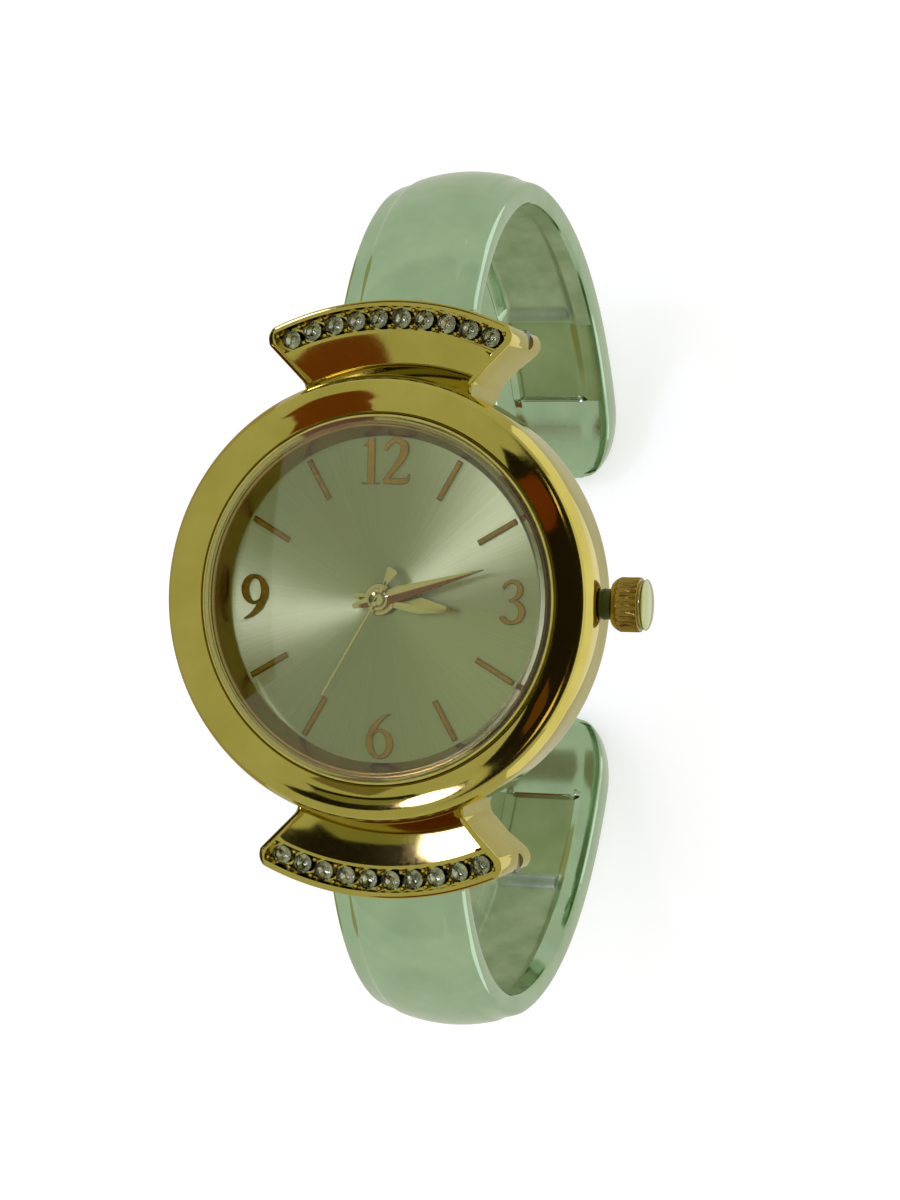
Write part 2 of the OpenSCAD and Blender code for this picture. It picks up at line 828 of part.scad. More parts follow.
module step_wheel() {
    color("gold")
        translate([step_x, step_y, 0]) {
            translate([0, 0, bridge_top + fit])
                cylinder(h = pivot_l, r = 0.1);
            translate([0, 0, pinion_low])
                rotate([0, 0, step_a + 180 + 180/pinion_n])
                    gear(pinion_n, mod_second, 0.45);
            translate([0, 0, step_gear_z])
                rotate([0, 0, rotor_a])
                    gear(step_n, mod_step, 0.12);
        }
}

module rotor() {
    color("dimgray")
        translate([rotor_x, rotor_y, 0]) {
            translate([0, 0, bridge_top + fit])
                cylinder(h = pivot_l, r = 0.1);
            translate([0, 0, pinion_low])
                cylinder(h = 0.45, r = rotor_d/2);
            translate([0, 0, pinion_low + 0.5])
                rotate([0, 0, rotor_a + 180 + 180/pinion_n])
                    gear(pinion_n, mod_step, 0.3);
        }
}

coil_y = -move_l/2 + 1.75;
coil_half = 3.5;
leg_w = 1.2;
coil_z = bridge_z + 0.88;
stator_z = bridge_z + 0.55;
stator_t = 0.35;

module stator() {
    color("silver")
        difference() {
            translate([0, 0, stator_z])
                linear_extrude(stator_t)
                    difference() {
                        intersection() {
                            move_plan(-0.1);
                            stator_plan();
                        }
                        translate([rotor_x, rotor_y])
                            circle(r = rotor_d/2 + 0.15);
                    }
            cylinder(h = dial_z, r = tip_r(centre_n, mod_centre) + 0.12);
        }
}

module stator_plan() {
    for (x = [-coil_half - 0.2 - leg_w, coil_half + 0.2])
        translate([x, coil_y - 0.5])
            square([leg_w, rotor_y - coil_y + 0.5]);
    translate([-coil_half - 0.2 - leg_w, rotor_y - leg_w/2])
        square([2*(coil_half + 0.2 + leg_w), leg_w]);
    translate([rotor_x, rotor_y])
        circle(r = rotor_d/2 + 0.5);
}

module coil() {
    color("chocolate")
        translate([0, coil_y, coil_z]) {
            rod_x(-coil_half, coil_half, 0.8);
            for (s = [-1, 1])
                translate([s*coil_half - 0.1, 0, 0])
                    rod_x(0, 0.2, 0.9);
            // Core strip that lies on the stator
            translate([-coil_half - 1, -0.4, stator_z + stator_t - coil_z])
                cube([2*coil_half + 2, 0.8, 0.3]);
        }
}

pillars = [[-(move_w/2 - 1.45), -1.6], [0.3, move_l/2 - 2.3], [move_w/2 - 2.05, -2.9]];

module main_plate() {
    color("silver")
        difference() {
            union() {
                translate([0, 0, plate_z])
                    linear_extrude(1)
                        move_plan();
                // Pillars for the bridge, the stem's block and the motor's seat
                for (p = pillars)
                    translate([p[0], p[1], bridge_top])
                        cylinder(h = plate_z - bridge_top + eps, r = 0.7);
                translate([block_x, -1.1, bridge_z + 0.2])
                    cube([move_w/2 - block_x, 2.2, plate_z - bridge_z - 0.2 + eps]);
                // Post that the setting lever turns on
                translate([lever_x, lever_y, lever_z - 0.05])
                    cylinder(h = plate_z - lever_z + 0.06, r = 0.18);
                translate([works_r*cos(works_a), works_r*sin(works_a), works_z - 0.1])
                    cylinder(h = 0.6, r = 0.15);
            }
            difference() {
                translate([0, 0, works_z])
                    linear_extrude(2) {
                        circle(r = tip_r(hour_n, mod_works) + 0.28);
                        translate([works_r*cos(works_a), works_r*sin(works_a)])
                            circle(r = tip_r(minute_n, mod_works) + 0.25);
                    }
                translate([works_r*cos(works_a), works_r*sin(works_a), works_z - 0.1])
                    cylinder(h = 0.6, r = 0.15);
            }
            cylinder(h = dial_z, r = 0.7);
            translate([battery_x, battery_y, 0])
                cylinder(h = battery_z + battery_t + fit, r = battery_d/2 + fit);
            translate([0, 0, stem_z])
                rod_x(clutch_x, move_w, stem_d/2 + fit);
            // Room for the clutch to turn
            translate([clutch_x - 0.15, 0, stem_z])
                rod_x(0, clutch_l + 0.3, clutch_out + 0.1);
            for (a = [20, 200])
                rotate([0, 0, a])
                    translate([0, foot_r, 0])
                        cylinder(h = dial_z, r = 0.35 + fit);
            for (p = pillars)
                translate([p[0], p[1], 0])
                    cylinder(h = bridge_z + 1.4, r = screw_r);
        }
}

module train_bridge() {
    color("silver")
        difference() {
            union() {
                translate([0, 0, bridge_z])
                    linear_extrude(bridge_t)
                        polygon(pillars);
                for (p = concat(pillars, [[0, 0, 1.6], [rotor_x, rotor_y, 1.2], [step_x, step_y, 1.6]]))
                    translate([p[0], p[1], bridge_z])
                        cylinder(h = bridge_t, r = len(p) > 2 ? p[2] : 1);
            }
            // Openings for the battery and the coil
            translate([battery_x, battery_y, 0])
                cylinder(h = dial_z, r = battery_d/2 + 0.15);
            translate([-move_l/2, coil_y - 1, 0])
                cube([move_l, 1.95, dial_z]);
            for (p = pillars)
                translate([p[0], p[1], 0])
                    cylinder(h = dial_z, r = screw_r);
        }
}

module bridge_screws() {
    color("lightgray")
        for (p = pillars)
            translate([p[0], p[1], bridge_z - 0.2])
                difference() {
                    union() {
                        cylinder(h = 0.2, r = 0.55);
                        cylinder(h = 1.5, r = screw_r);
                    }
                    translate([-1, -0.06, -1])
                        cube([2, 0.12, 1.1]);
                }
}

board_z = move_z + 0.06;
board_t = 0.12;
can_r = 0.7;
can_x = move_w/2 - 2.35;
can_y = 2.6;
can_l = sqrt(pow(move_l/2 - 0.3, 2) - pow(can_x + can_r, 2)) - can_y;
chip_w = 1.5;
chip_x = can_x - can_r - 0.4 - chip_w;

module circuit_board() {
    color("green")
        translate([0, 0, board_z])
            linear_extrude(board_t)
                intersection() {
                    move_plan(-0.3);
                    translate([chip_x - 0.4, 1.6])
                        square(move_w/2);
                }
}

module quartz_can() {
    color("silver")
        translate([can_x, can_y, board_z + board_t + can_r])
            rotate([-90, 0, 0])
                cylinder(h = can_l, r = can_r);
}

module chip() {
    color("black")
        translate([chip_x, 3.6, board_z + board_t])
            cube([chip_w, chip_w, 0.45]);
}

module battery() {
    color("lightgray")
        translate([battery_x, battery_y, battery_z])
            rotate_extrude()
                polygon([[0, 0], [battery_d/2 - 0.5, 0], [battery_d/2 - 0.4, 0.2], [battery_d/2 - 0.12, 0.2],
                    [battery_d/2, 0.35], [battery_d/2, battery_t], [0, battery_t]]);
}

module battery_strap() {
    color("silver")
        translate([battery_x, battery_y, move_z + 0.08])
            linear_extrude(0.15)
                intersection() {
                    rotate([0, 0, -45])
                        square([1.2, battery_d + 1.6], center = true);
                    translate([-battery_x, -battery_y])
                        move_plan(-0.1);
                }
}

clutch_x = stem_in + 0.1;
clutch_l = 1.5;
mod_clutch = 0.075;
clutch_out = mod_clutch*(14/2 + 0.85);

module clutch_wheel() {
    color("gold")
        translate([clutch_x, 0, stem_z])
            difference() {
                union() {
                    rod_x(0, clutch_l, 0.46);
                    for (x = [0, clutch_l - 0.4])
                        translate([x, 0, 0])
                            rotate([0, 90, 0])
                                gear(14, mod_clutch, 0.4);
                }
                translate([-1, -square_w/2 - 0.03, -square_w/2 - 0.03])
                    cube([4, square_w + 0.06, square_w + 0.06]);
            }
}

lever_x = groove_x + crown_pull/2;
lever_y = 1.75;
lever_z = stem_z - 0.68;
lever_pin_y = 0.5;
block_x = groove_x + crown_pull + 0.35;

module setting_lever() {
    color("silver")
        difference() {
            union() {
                translate([lever_x, lever_y, lever_z])
                    cylinder(h = 0.2, r = 0.5);
                translate([0, 0, lever_z])
                    linear_extrude(0.2)
                        polygon([[lever_x - 0.3, lever_y], [groove_x - 0.18, lever_pin_y],
                            [groove_x + 0.18, lever_pin_y], [lever_x + 0.3, lever_y]]);
                translate([groove_x, lever_pin_y, lever_z])
                    cylinder(h = 0.78, r = 0.13);
                translate([groove_x, lever_pin_y, lever_z])
                    cylinder(h = 0.2, r = 0.18);
            }
            translate([lever_x, lever_y, 0])
                cylinder(h = dial_z, r = 0.2);
        }
}

// Height of the side wall along an arm: even beside the case, then growing to the rounded end
function wall_at(t) = t < 0.35 ? side_h : side_h + (nose_t - side_h)*pow((t - 0.35)/0.65, 1.4);

// Depth of the hollow along an arm, and of the pad recess before the rounded end
function hollow_at(t) = t < 0.05 ? 0.06 : t < 0.09 ? 0.06 + (wall_at(t) - web_t - 0.06)*(t - 0.05)/0.04 :
    t < 0.72 ? wall_at(t) - web_t - 0.6*max(0, (t - 0.4)/0.32) : t < 0.74 ? 0.35 : t < 0.87 ? 0.42 : 0.06;

// How much of the full width and thickness is left at the rounded end
function end_at(t) = t < 0.9 ? 1 : sqrt(max(0, 1 - pow((t - 0.9)/0.104, 2)));

// Angle and centre along the arm's path: t = 0 at the hinge, 1 at the end
near_len = bend_near*start_a;
far_len = -bend_far*end_a;
turn_t = near_len/(near_len + far_len);
function angle_at(t) = t < turn_t ? start_a*(1 - t/turn_t) : end_a*(t - turn_t)/(1 - turn_t);
function mid_at(t) = t < turn_t ? near_y : far_y;
function bend_at(t) = t < turn_t ? bend_near : bend_far;

// Cross-section of an arm at t, in width and outward height
function section(t) =
    let (e = end_at(t), w = arm_w/2*(0.42 + 0.58*e), h = wall_at(t), top = -h/2 + h/2*(0.3 + 0.7*e),
        low = -h/2 - h/2*(0.3 + 0.7*e), cr = arm_crown*e, st = 0.14*e, b = w - border_w*(0.3 + 0.7*e),
        rim = w - rim_w*(0.5 + 0.5*e), d = min(hollow_at(t), h*0.6))
    concat([[w - 0.4, low], [w, low + 0.4], [w, top - 0.4], [w - 0.4, top], [b, top + 0.03],
        [b - 0.08, top + 0.03 + st]],
        [for (k = [3:-1:-3]) [b*k/4, top + 0.03 + st + (cr - st)*(1 - pow(k/4, 2))]],
        [[-b + 0.08, top + 0.03 + st], [-b, top + 0.03], [-w + 0.4, top], [-w, top - 0.4], [-w, low + 0.4],
        [-w + 0.4, low], [-rim, low + 0.03], [-rim + 0.8, low + 0.03 + d], [rim - 0.8, low + 0.03 + d],
        [rim, low + 0.03]]);

// Where the arm's cross-sections stand: even along the arm, closer at the pad recess and the end
steps = [for (i = [0:12]) i*0.03, for (i = [1:8]) 0.36 + i*0.045, 0.735, 0.75, 0.8, 0.865, 0.88, 0.9,
    0.925, 0.95, 0.97, 0.985, 0.995, 1.0];

module arm_sweep() {
    m = len(section(0));
    n = len(steps);
    pts = [for (t = steps) for (p = section(t))
        let (a = angle_at(t), r = bend_at(t) + p[1]) [p[0], mid_at(t) + r*cos(a), path_z + r*sin(a)]];
    walls = [for (i = [0:n - 2]) for (j = [0:m - 1]) for (k = [0, 1])
        k == 0 ? [i*m + j, i*m + (j + 1)%m, (i + 1)*m + j] :
        [i*m + (j + 1)%m, (i + 1)*m + (j + 1)%m, (i + 1)*m + j]];
    polyhedron(points = pts, faces = concat([[for (j = [m - 1:-1:0]) j]], walls,
        [[for (j = [0:m - 1]) (n - 1)*m + j]]));
}

// One arm on the twelve o'clock side with its knuckle, pin hole and the room for its spring
module cuff_arm() {
    difference() {
        union() {
            arm_sweep();
            translate([0, pin_y, pin_z])
                rod_x(-arm_w/2, arm_w/2, knuckle_r);
        }
        translate([0, pin_y, pin_z])
            rod_x(-arm_w, arm_w, pin_d/2 + hinge_gap);
        translate([0, pin_y, pin_z])
            rod_x(-spring_half, spring_half, knuckle_r - 0.55);
        translate([-spring_half, pin_y - knuckle_r - 1, pin_z - 3])
            cube([2*spring_half, knuckle_r + 1, 3]);
    }
}

module upper_cuff_arm() {
    color("lightsteelblue")
        cuff_arm();
}

module lower_cuff_arm() {
    color("lightsteelblue")
        rotate([0, 0, 180])
            cuff_arm();
}

module hinge_pin() {
    translate([0, pin_y, pin_z])
        rod_x(-pin_half, pin_half, pin_d/2);
}

module upper_hinge_pin() {
    color("silver")
        hinge_pin();
}

module lower_hinge_pin() {
    color("silver")
        rotate([0, 0, 180])
            hinge_pin();
}

// A torsion spring round the pin, its even coils by formula
spring_r = pin_d/2 + fit + wire_d/2 + 0.02;
spring_pitch = wire_d*1.06;

module hinge_spring() {
    k = 16;
    s = 6;
    n = coil_n*k;
    pts = [for (i = [0:n]) for (j = [0:s - 1])
        let (a = i*360/k, u = j*360/s, r = spring_r + wire_d/2*cos(u))
        [(i/k - coil_n/2)*spring_pitch + wire_d/2*sin(u), pin_y + r*cos(a), pin_z + r*sin(a)]];
    walls = [for (i = [0:n - 1]) for (j = [0:s - 1]) for (q = [0, 1])
        q == 0 ? [i*s + j, (i + 1)*s + j, i*s + (j + 1)%s] :
        [i*s + (j + 1)%s, (i + 1)*s + j, (i + 1)*s + (j + 1)%s]];
    polyhedron(points = pts, faces = concat([[for (j = [0:s - 1]) j]], walls,
        [[for (j = [s - 1:-1:0]) n*s + j]]));
}

module upper_hinge_spring() {
    color("dimgray")
        hinge_spring();
}

module lower_hinge_spring() {
    color("dimgray")
        rotate([0, 0, 180])
            hinge_spring();
}

case_body();
bezel();
crystal();
crystal_gasket();
dial_ring();
dial();
hour_markers();
numerals();
upper_stones();
lower_stones();
case_back();
case_back_gasket();
movement_ring();
crown();
stem();
crown_seal();
stem_tube();
second_hand();
minute_hand();
hour_hand();
main_plate();
train_bridge();
bridge_screws();
second_wheel();
centre_wheel();
third_wheel();
step_wheel();
minute_wheel();
hour_wheel();
rotor();
stator();
coil();
circuit_board();
quartz_can();
chip();
battery();
battery_strap();
clutch_wheel();
setting_lever();
upper_cuff_arm();
lower_cuff_arm();
upper_hinge_pin();
lower_hinge_pin();
upper_hinge_spring();
lower_hinge_spring();
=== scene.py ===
# %% [markdown]
# This lesson dresses a small cuff watch: a gold-plated quartz head that sits between two sprung
# silver-plated arms. The exact solids come from the CAD model, which is loaded first as a fixed frame.
# Everything that Blender adds is built round that frame, in metres, so nothing has to be fitted later.

# %% Load the frame
import bmesh
import bpy
import math
from mathutils import Matrix, Vector


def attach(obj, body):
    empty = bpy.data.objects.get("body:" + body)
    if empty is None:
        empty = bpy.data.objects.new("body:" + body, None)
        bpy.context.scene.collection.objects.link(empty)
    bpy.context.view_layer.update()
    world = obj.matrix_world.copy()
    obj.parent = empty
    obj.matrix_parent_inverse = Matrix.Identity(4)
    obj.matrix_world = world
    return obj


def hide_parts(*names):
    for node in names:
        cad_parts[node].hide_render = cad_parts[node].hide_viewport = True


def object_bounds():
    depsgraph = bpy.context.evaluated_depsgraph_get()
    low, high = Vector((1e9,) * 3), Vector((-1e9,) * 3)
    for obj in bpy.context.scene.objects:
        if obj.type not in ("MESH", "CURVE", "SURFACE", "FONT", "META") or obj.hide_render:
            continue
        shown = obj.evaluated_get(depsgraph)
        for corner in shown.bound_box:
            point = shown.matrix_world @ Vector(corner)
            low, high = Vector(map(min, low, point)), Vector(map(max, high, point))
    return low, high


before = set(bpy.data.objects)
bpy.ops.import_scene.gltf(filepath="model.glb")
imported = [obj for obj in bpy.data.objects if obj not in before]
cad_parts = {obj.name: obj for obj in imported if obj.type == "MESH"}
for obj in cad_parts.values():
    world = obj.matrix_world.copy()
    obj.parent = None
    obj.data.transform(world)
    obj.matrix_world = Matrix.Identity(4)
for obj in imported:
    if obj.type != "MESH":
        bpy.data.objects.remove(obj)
cad_low, cad_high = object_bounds()
mm = 0.001
print("the watch measures", [round((b - a)/mm, 1) for a, b in zip(cad_low, cad_high)], "mm")

# %% [markdown]
# The picture is taken from close by: 17 cm away, and a little to the right of the dial. A camera is placed by
# an aim point, a distance and three angles, because those are the numbers that a fit to a photograph gives.
# The field of view could be set as an angle, but a lens length on a 36 mm frame says the same thing.

# %% Camera
photo_high = 1200
focal_px = 2439.6
film_mm = 36
turn = math.radians(17.367)
lift = math.radians(0.571)
roll = math.radians(1.115)
distance = 171.9*mm
aim = Vector((5.49, 0.08, 6.6))*mm


def add(name, data):
    """A new object in the scene."""
    thing = bpy.data.objects.new(name, data)
    bpy.context.scene.collection.objects.link(thing)
    return thing


def stand(thing, x, y, z, place):
    """Turns an object's own axes to x, y and z and puts it at its place."""
    thing.matrix_world = Matrix((x, y, z)).transposed().to_4x4()
    thing.location = place


back = Vector((math.sin(turn)*math.cos(lift), math.sin(lift), math.cos(turn)*math.cos(lift)))
right = Vector((0, 1, 0)).cross(back).normalized()
up = back.cross(right)
camera = add("camera", bpy.data.cameras.new("camera"))
camera.data.sensor_width = film_mm
camera.data.lens = focal_px*film_mm/photo_high
camera.data.clip_start = 1*mm
rolled_right = right*math.cos(roll) + up*math.sin(roll)
rolled_up = up*math.cos(roll) - right*math.sin(roll)
stand(camera, rolled_right, rolled_up, back, aim + back*distance)
bpy.context.scene.camera = camera
print("lens", round(camera.data.lens, 1), "mm")

# %% [markdown]
# Meshes are written in millimetres and scaled once on the way in. One helper welds the points and turns the
# faces outward. A second puts a mesh in the scene with the body that it moves with, and hides the CAD nodes
# that it stands for. A third does both and keeps real corners sharp.

# %% Mesh helpers
weld = 0.0004*mm


def solid_mesh(name, points, faces, finish_of=None):
    """A smooth mesh from points in millimetres; finish_of gives each face's material number."""
    mesh = bpy.data.meshes.new(name)
    mesh.from_pydata([Vector(p)*mm for p in points], [], faces)
    shell = bmesh.new()
    shell.from_mesh(mesh)
    layer = shell.faces.layers.int.new("finish")
    for face, number in zip(shell.faces, finish_of or []):
        face[layer] = number
    bmesh.ops.remove_doubles(shell, verts=shell.verts, dist=weld)
    bmesh.ops.dissolve_degenerate(shell, edges=shell.edges, dist=weld)
    bmesh.ops.recalc_face_normals(shell, faces=shell.faces)
    for face in shell.faces:
        face.material_index = face[layer]
        face.smooth = True
    shell.faces.layers.int.remove(layer)
    shell.to_mesh(mesh)
    shell.free()
    return mesh


def as_piece(name, mesh, body, stands_for):
    """Puts a mesh in the scene as a piece of the watch."""
    piece = add(name, mesh)
    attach(piece, body)
    if stands_for:
        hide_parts(*stands_for)
    return piece


def new_piece(name, solid, body, materials, stands_for, sharp, finish_of=None):
    """A piece from (points, faces); edges that turn by more than sharp degrees stay crisp."""
    mesh = solid_mesh(name, *solid, finish_of)
    mesh.set_sharp_from_angle(angle=math.radians(sharp))
    for material in materials:
        mesh.materials.append(material)
    return as_piece(name, mesh, body, stands_for)


# %% [markdown]
# Nearly every part of a watch is turned on a lathe, stamped from a flat outline or swept along a line. All
# three are rows of points with faces between them, so one helper makes the faces and the others only place
# the points. A solid is a pair here: its points in millimetres and its faces.

# %% Shape helpers
def grid(rows, columns, wrap_rows=False, wrap_columns=False):
    """Faces between points that are listed row by row; a wrapped side joins up with its start."""
    faces = []
    for i in range(rows if wrap_rows else rows - 1):
        near, far = i*columns, (i + 1)%rows*columns
        for j in range(columns if wrap_columns else columns - 1):
            k = (j + 1)%columns
            faces.append((near + j, near + k, far + k, far + j))
    return faces


def loft(rings):
    """A solid over rings that have the same number of points, closed at both ends."""
    n = len(rings[0])
    points = [p for ring in rings for p in ring]
    ends = [tuple(range(n))[::-1], tuple(range(len(points) - n, len(points)))]
    return points, ends + grid(len(rings), n, wrap_columns=True)


def prism(outline, z0, z1):
    """An upright prism on an outline of (x, y) points."""
    return loft([[(x, y, z) for x, y in outline] for z in (z0, z1)])


def circle(r, count, start=0.0):
    angles = [2*math.pi*(i + start)/count for i in range(count)]
    return [(r*math.cos(a), r*math.sin(a)) for a in angles]


def rod(r, z0, z1, count=48):
    return prism(circle(r, count), z0, z1)


def turned(profile, count=256, closed=True):
    """A profile of (radius, height) pairs turned round Z; one that isn't closed starts and ends on Z."""
    points = []
    for i in range(count):
        a = 2*math.pi*i/count
        points += [(r*math.cos(a), r*math.sin(a), z) for r, z in profile]
    return points, grid(count, len(profile), True, closed)


def arc(cx, cy, r, start, end, count):
    """Points of an arc in degrees, both ends kept."""
    angles = [math.radians(start + (end - start)*i/count) for i in range(count + 1)]
    return [(cx + r*math.cos(a), cy + r*math.sin(a)) for a in angles]


def rounded(corners, count):
    """Turns each (x, y, reach) corner of an outline into a small curve; with no reach it stays a corner."""
    points = []
    for i, (x, y, reach) in enumerate(corners):
        if reach == 0:
            points.append((x, y))
            continue
        here, before, after = (Vector(corners[k%len(corners)][:2]) for k in (i, i - 1, i + 1))
        reach = min(reach, (before - here).length*0.45, (after - here).length*0.45)
        start = here + (before - here).normalized()*reach
        end = here + (after - here).normalized()*reach
        for k in range(count + 1):
            t = k/count
            points.append(tuple(start*(1 - t)**2 + here*2*t*(1 - t) + end*t*t))
    return points


def joined(*solids):
    """Several solids as one."""
    points, faces = [], []
    for more_points, more_faces in solids:
        faces += [tuple(i + len(points) for i in face) for face in more_faces]
        points += more_points
    return points, faces


def moved(solid, x=0.0, y=0.0, z=0.0):
    return [(x + px, y + py, z + pz) for px, py, pz in solid[0]], solid[1]


def spun(solid, clockwise):
    """A solid turned round the middle of the dial, in degrees clockwise."""
    c, s = math.cos(math.radians(-clockwise)), math.sin(math.radians(-clockwise))
    return [(x*c - y*s, x*s + y*c, z) for x, y, z in solid[0]], solid[1]


def along_x(solid, y, z):
    """Turns a solid made along Z so that it lies along X through (y, z)."""
    return [(pz, y + px, z + py) for px, py, pz in solid[0]], solid[1]


# %% [markdown]
# A material is a small net of nodes. One helper fills a node's sockets, each with a constant or with what
# another node gives, and one adds a node with its choices made. That keeps every finish a few lines long.

# %% Node helpers
def wire(tree, node, sockets):
    """Fills a node's sockets, each with a constant or with the output of another node."""
    for name, value in sockets.items():
        if isinstance(value, bpy.types.NodeSocket):
            tree.links.new(value, node.inputs[name])
        else:
            node.inputs[name].default_value = value


def add_node(tree, kind, output, sockets, **choices):
    """A new shader node with its choices made and its sockets filled; gives one of its outputs."""
    node = tree.nodes.new("ShaderNode" + kind)
    for name, value in choices.items():
        setattr(node, name, value)
    wire(tree, node, sockets)
    return node.outputs[output]


def blank(name, metallic=0.0):
    """A new material, its net of nodes and its main shader."""
    material = bpy.data.materials.new(name)
    material.use_nodes = True
    shader = material.node_tree.nodes["Principled BSDF"]
    shader.inputs["Metallic"].default_value = metallic
    return material, material.node_tree, shader


# %% [markdown]
# A polished piece shows its surroundings more than its own colour, so the studio is planned first. A pale
# floor and a white sky give plain, even light. Curved cards hang round the watch as in a jeweller's light
# tent, and show in mirrors and glass only. Without them plated metal would look like plain paint.

# %% Studio boards
def stage_board(name, corners, faces, paint_colour, glow_colour):
    """A board of the studio from its corners in metres, and the net of its paint."""
    mesh = bpy.data.meshes.new(name)
    mesh.from_pydata(corners, [], faces)
    board = add(name, mesh)
    paint, tree, shader = blank(name)
    wire(tree, shader, {"Base Color": (*paint_colour, 1), "Roughness": 0.9, "Specular IOR Level": 0.0,
        "Emission Color": (*glow_colour, 1), "Emission Strength": 1.0})
    mesh.materials.append(paint)
    return board, tree


def mirror_board(name, corners, faces, colour):
    """A board with an even glow that shows in mirrors and glass only."""
    board = stage_board(name, corners, faces, (0, 0, 0), colour)[0]
    board.visible_camera = False
    board.visible_shadow = False
    board.visible_diffuse = False


# %% [markdown]
# The floor lies a hair below the arm ends, so that they never flicker through it. It glows a little for the
# eye, for mirrors and through glass, but not for dull surfaces, which it would flood with light from below.

# %% Floor
floor_gap, floor_reach, floor_glow = 0.2*mm, 1.2, 0.45
floor_z = cad_low.z - floor_gap
pale = (0.8, 0.8, 0.8)
floor_corners = [(x*floor_reach, y*floor_reach, floor_z) for x, y in ((-1, -1), (1, -1), (1, 1), (-1, 1))]
floor_tree = stage_board("floor", floor_corners, [(0, 1, 2, 3)], pale, pale)[1]
ray = floor_tree.nodes.new("ShaderNodeLightPath").outputs
seen = ray["Is Camera Ray"]
for kind in ("Is Glossy Ray", "Is Transmission Ray"):
    seen = add_node(floor_tree, "Math", 0, {0: seen, 1: ray[kind]}, operation="MAXIMUM")
glow = add_node(floor_tree, "Math", 0, {0: seen, 1: floor_glow}, operation="MULTIPLY")
wire(floor_tree, floor_tree.nodes["Principled BSDF"], {"Emission Strength": glow})
print("floor at", round(floor_z/mm, 1), "mm")

# %% [markdown]
# Each card is a patch of a big ball round the watch, given by rows: an elevation and the azimuths at its two
# edges. That fits how a mirror reads its surroundings, by direction only. The dark boards give the bezel and
# the lugs their black bands, the warm ones the brown and red beside them, and cloths and wall stay pale.

# %% Cards
def towards(azimuth, elevation):
    """A unit vector from angles in degrees; azimuth 0 is three o'clock and 90 is twelve."""
    a, e = math.radians(azimuth), math.radians(elevation)
    return Vector((math.cos(a)*math.cos(e), math.sin(a)*math.cos(e), math.sin(e)))


def card(name, rows, far, colour, steps=16):
    """A curved card from (elevation, first azimuth, last azimuth) rows."""
    corners = []
    for elevation, first, last in rows:
        corners += [towards(first + (last - first)*i/steps, elevation)*far for i in range(steps + 1)]
    mirror_board(name, corners, grid(len(rows), steps + 1), colour)


def low_card(name, above, outline, colour):
    """A flat card that lies just above the floor."""
    corners = [(x, y, floor_z + above) for x, y in outline]
    mirror_board(name, corners, [tuple(range(len(corners)))], colour)


cloth_far, shade_far, board_far, edge_far, glint_far = 0.64, 0.6, 0.58, 0.56, 0.54
cloth_above, warm_above = 0.4*mm, 0.8*mm
card("tent cloth", [(e, 0, 360) for e in (14, 24, 34, 44, 54, 64, 74, 84, 90)], cloth_far,
    (0.57, 0.58, 0.49), 48)
card("tent wall", [(14, 48, 312), (4, 46, 314), (-5, 44, 316)], cloth_far, (0.62, 0.63, 0.54), 32)
card("dark flag", [(68, 168, 188), (63, 163, 194), (55, 156, 201), (47, 150, 208), (38, 154, 209),
    (29, 160, 209), (16, 163, 208)], board_far, (0.016, 0.012, 0.008))
card("red edge of the flag", [(58, 191, 195), (50, 192, 200), (40, 193, 203), (28, 194, 206), (18, 195, 207)],
    edge_far, (0.17, 0.04, 0.008), 6)
card("brown edge of the flag", [(54, 163, 168), (46, 160, 168), (38, 163, 168)], edge_far,
    (0.15, 0.06, 0.012), 6)
card("dark board at twelve", [(72.5, 136, 145), (70.5, 128, 147), (68, 125, 150), (65, 120, 153),
    (62, 113, 149.7), (60, 107, 147), (56, 118, 141.8), (53, 126.5, 138), (50, 133, 134)], board_far,
    (0.014, 0.012, 0.008))
card("olive strip over that board", [(66, 122, 130), (64, 117, 134), (62, 116, 138.5), (60, 119, 142.7),
    (58, 125, 147), (56, 131, 149), (54, 138, 151)], edge_far, (0.27, 0.28, 0.14), 8)
card("dark strip by the lamp", [(64, 157, 159.5), (59.5, 152.5, 155), (55, 148.5, 151)], board_far,
    (0.05, 0.04, 0.01), 3)
card("shade below that board", [(52, 100, 122), (44, 98, 122), (36, 98, 122)], shade_far,
    (0.24, 0.21, 0.12))
card("red board at six", [(70.5, 222, 240), (67, 217.5, 247), (63, 225, 256), (58, 232, 262),
    (53.5, 238.7, 268), (48, 242, 275), (43, 245, 270), (37, 246, 262)], board_far, (0.19, 0.055, 0.01))
card("glint a", [(64.3, 188.4, 189.7), (60.8, 188.3, 189.9)], glint_far, (1.7, 1.4, 0.9), 2)
card("glint b", [(64.6, 170.5, 174.5), (61.2, 170.8, 174.6)], glint_far, (1.6, 1.1, 0.6), 2)
low_card("low cloth", cloth_above, [(-0.8, -0.8), (0.4, -0.8), (0.045, -0.1), (0.03, -0.06), (0.03, 0.06),
    (0.045, 0.1), (0.4, 0.8), (-0.8, 0.8)], (0.61, 0.61, 0.52))
low_card("low warm card", warm_above, [(-0.6, -0.6), (-0.018, -0.016), (-0.018, 0.016), (-0.6, 0.6)],
    (0.42, 0.36, 0.17))

# %% [markdown]
# There is one lamp. It is narrow and long, so it draws a short bright streak on the bezel and a bow tie on
# the brushed dial. The sky is a shade dimmer for all but the camera, which has to see a plain white ground.

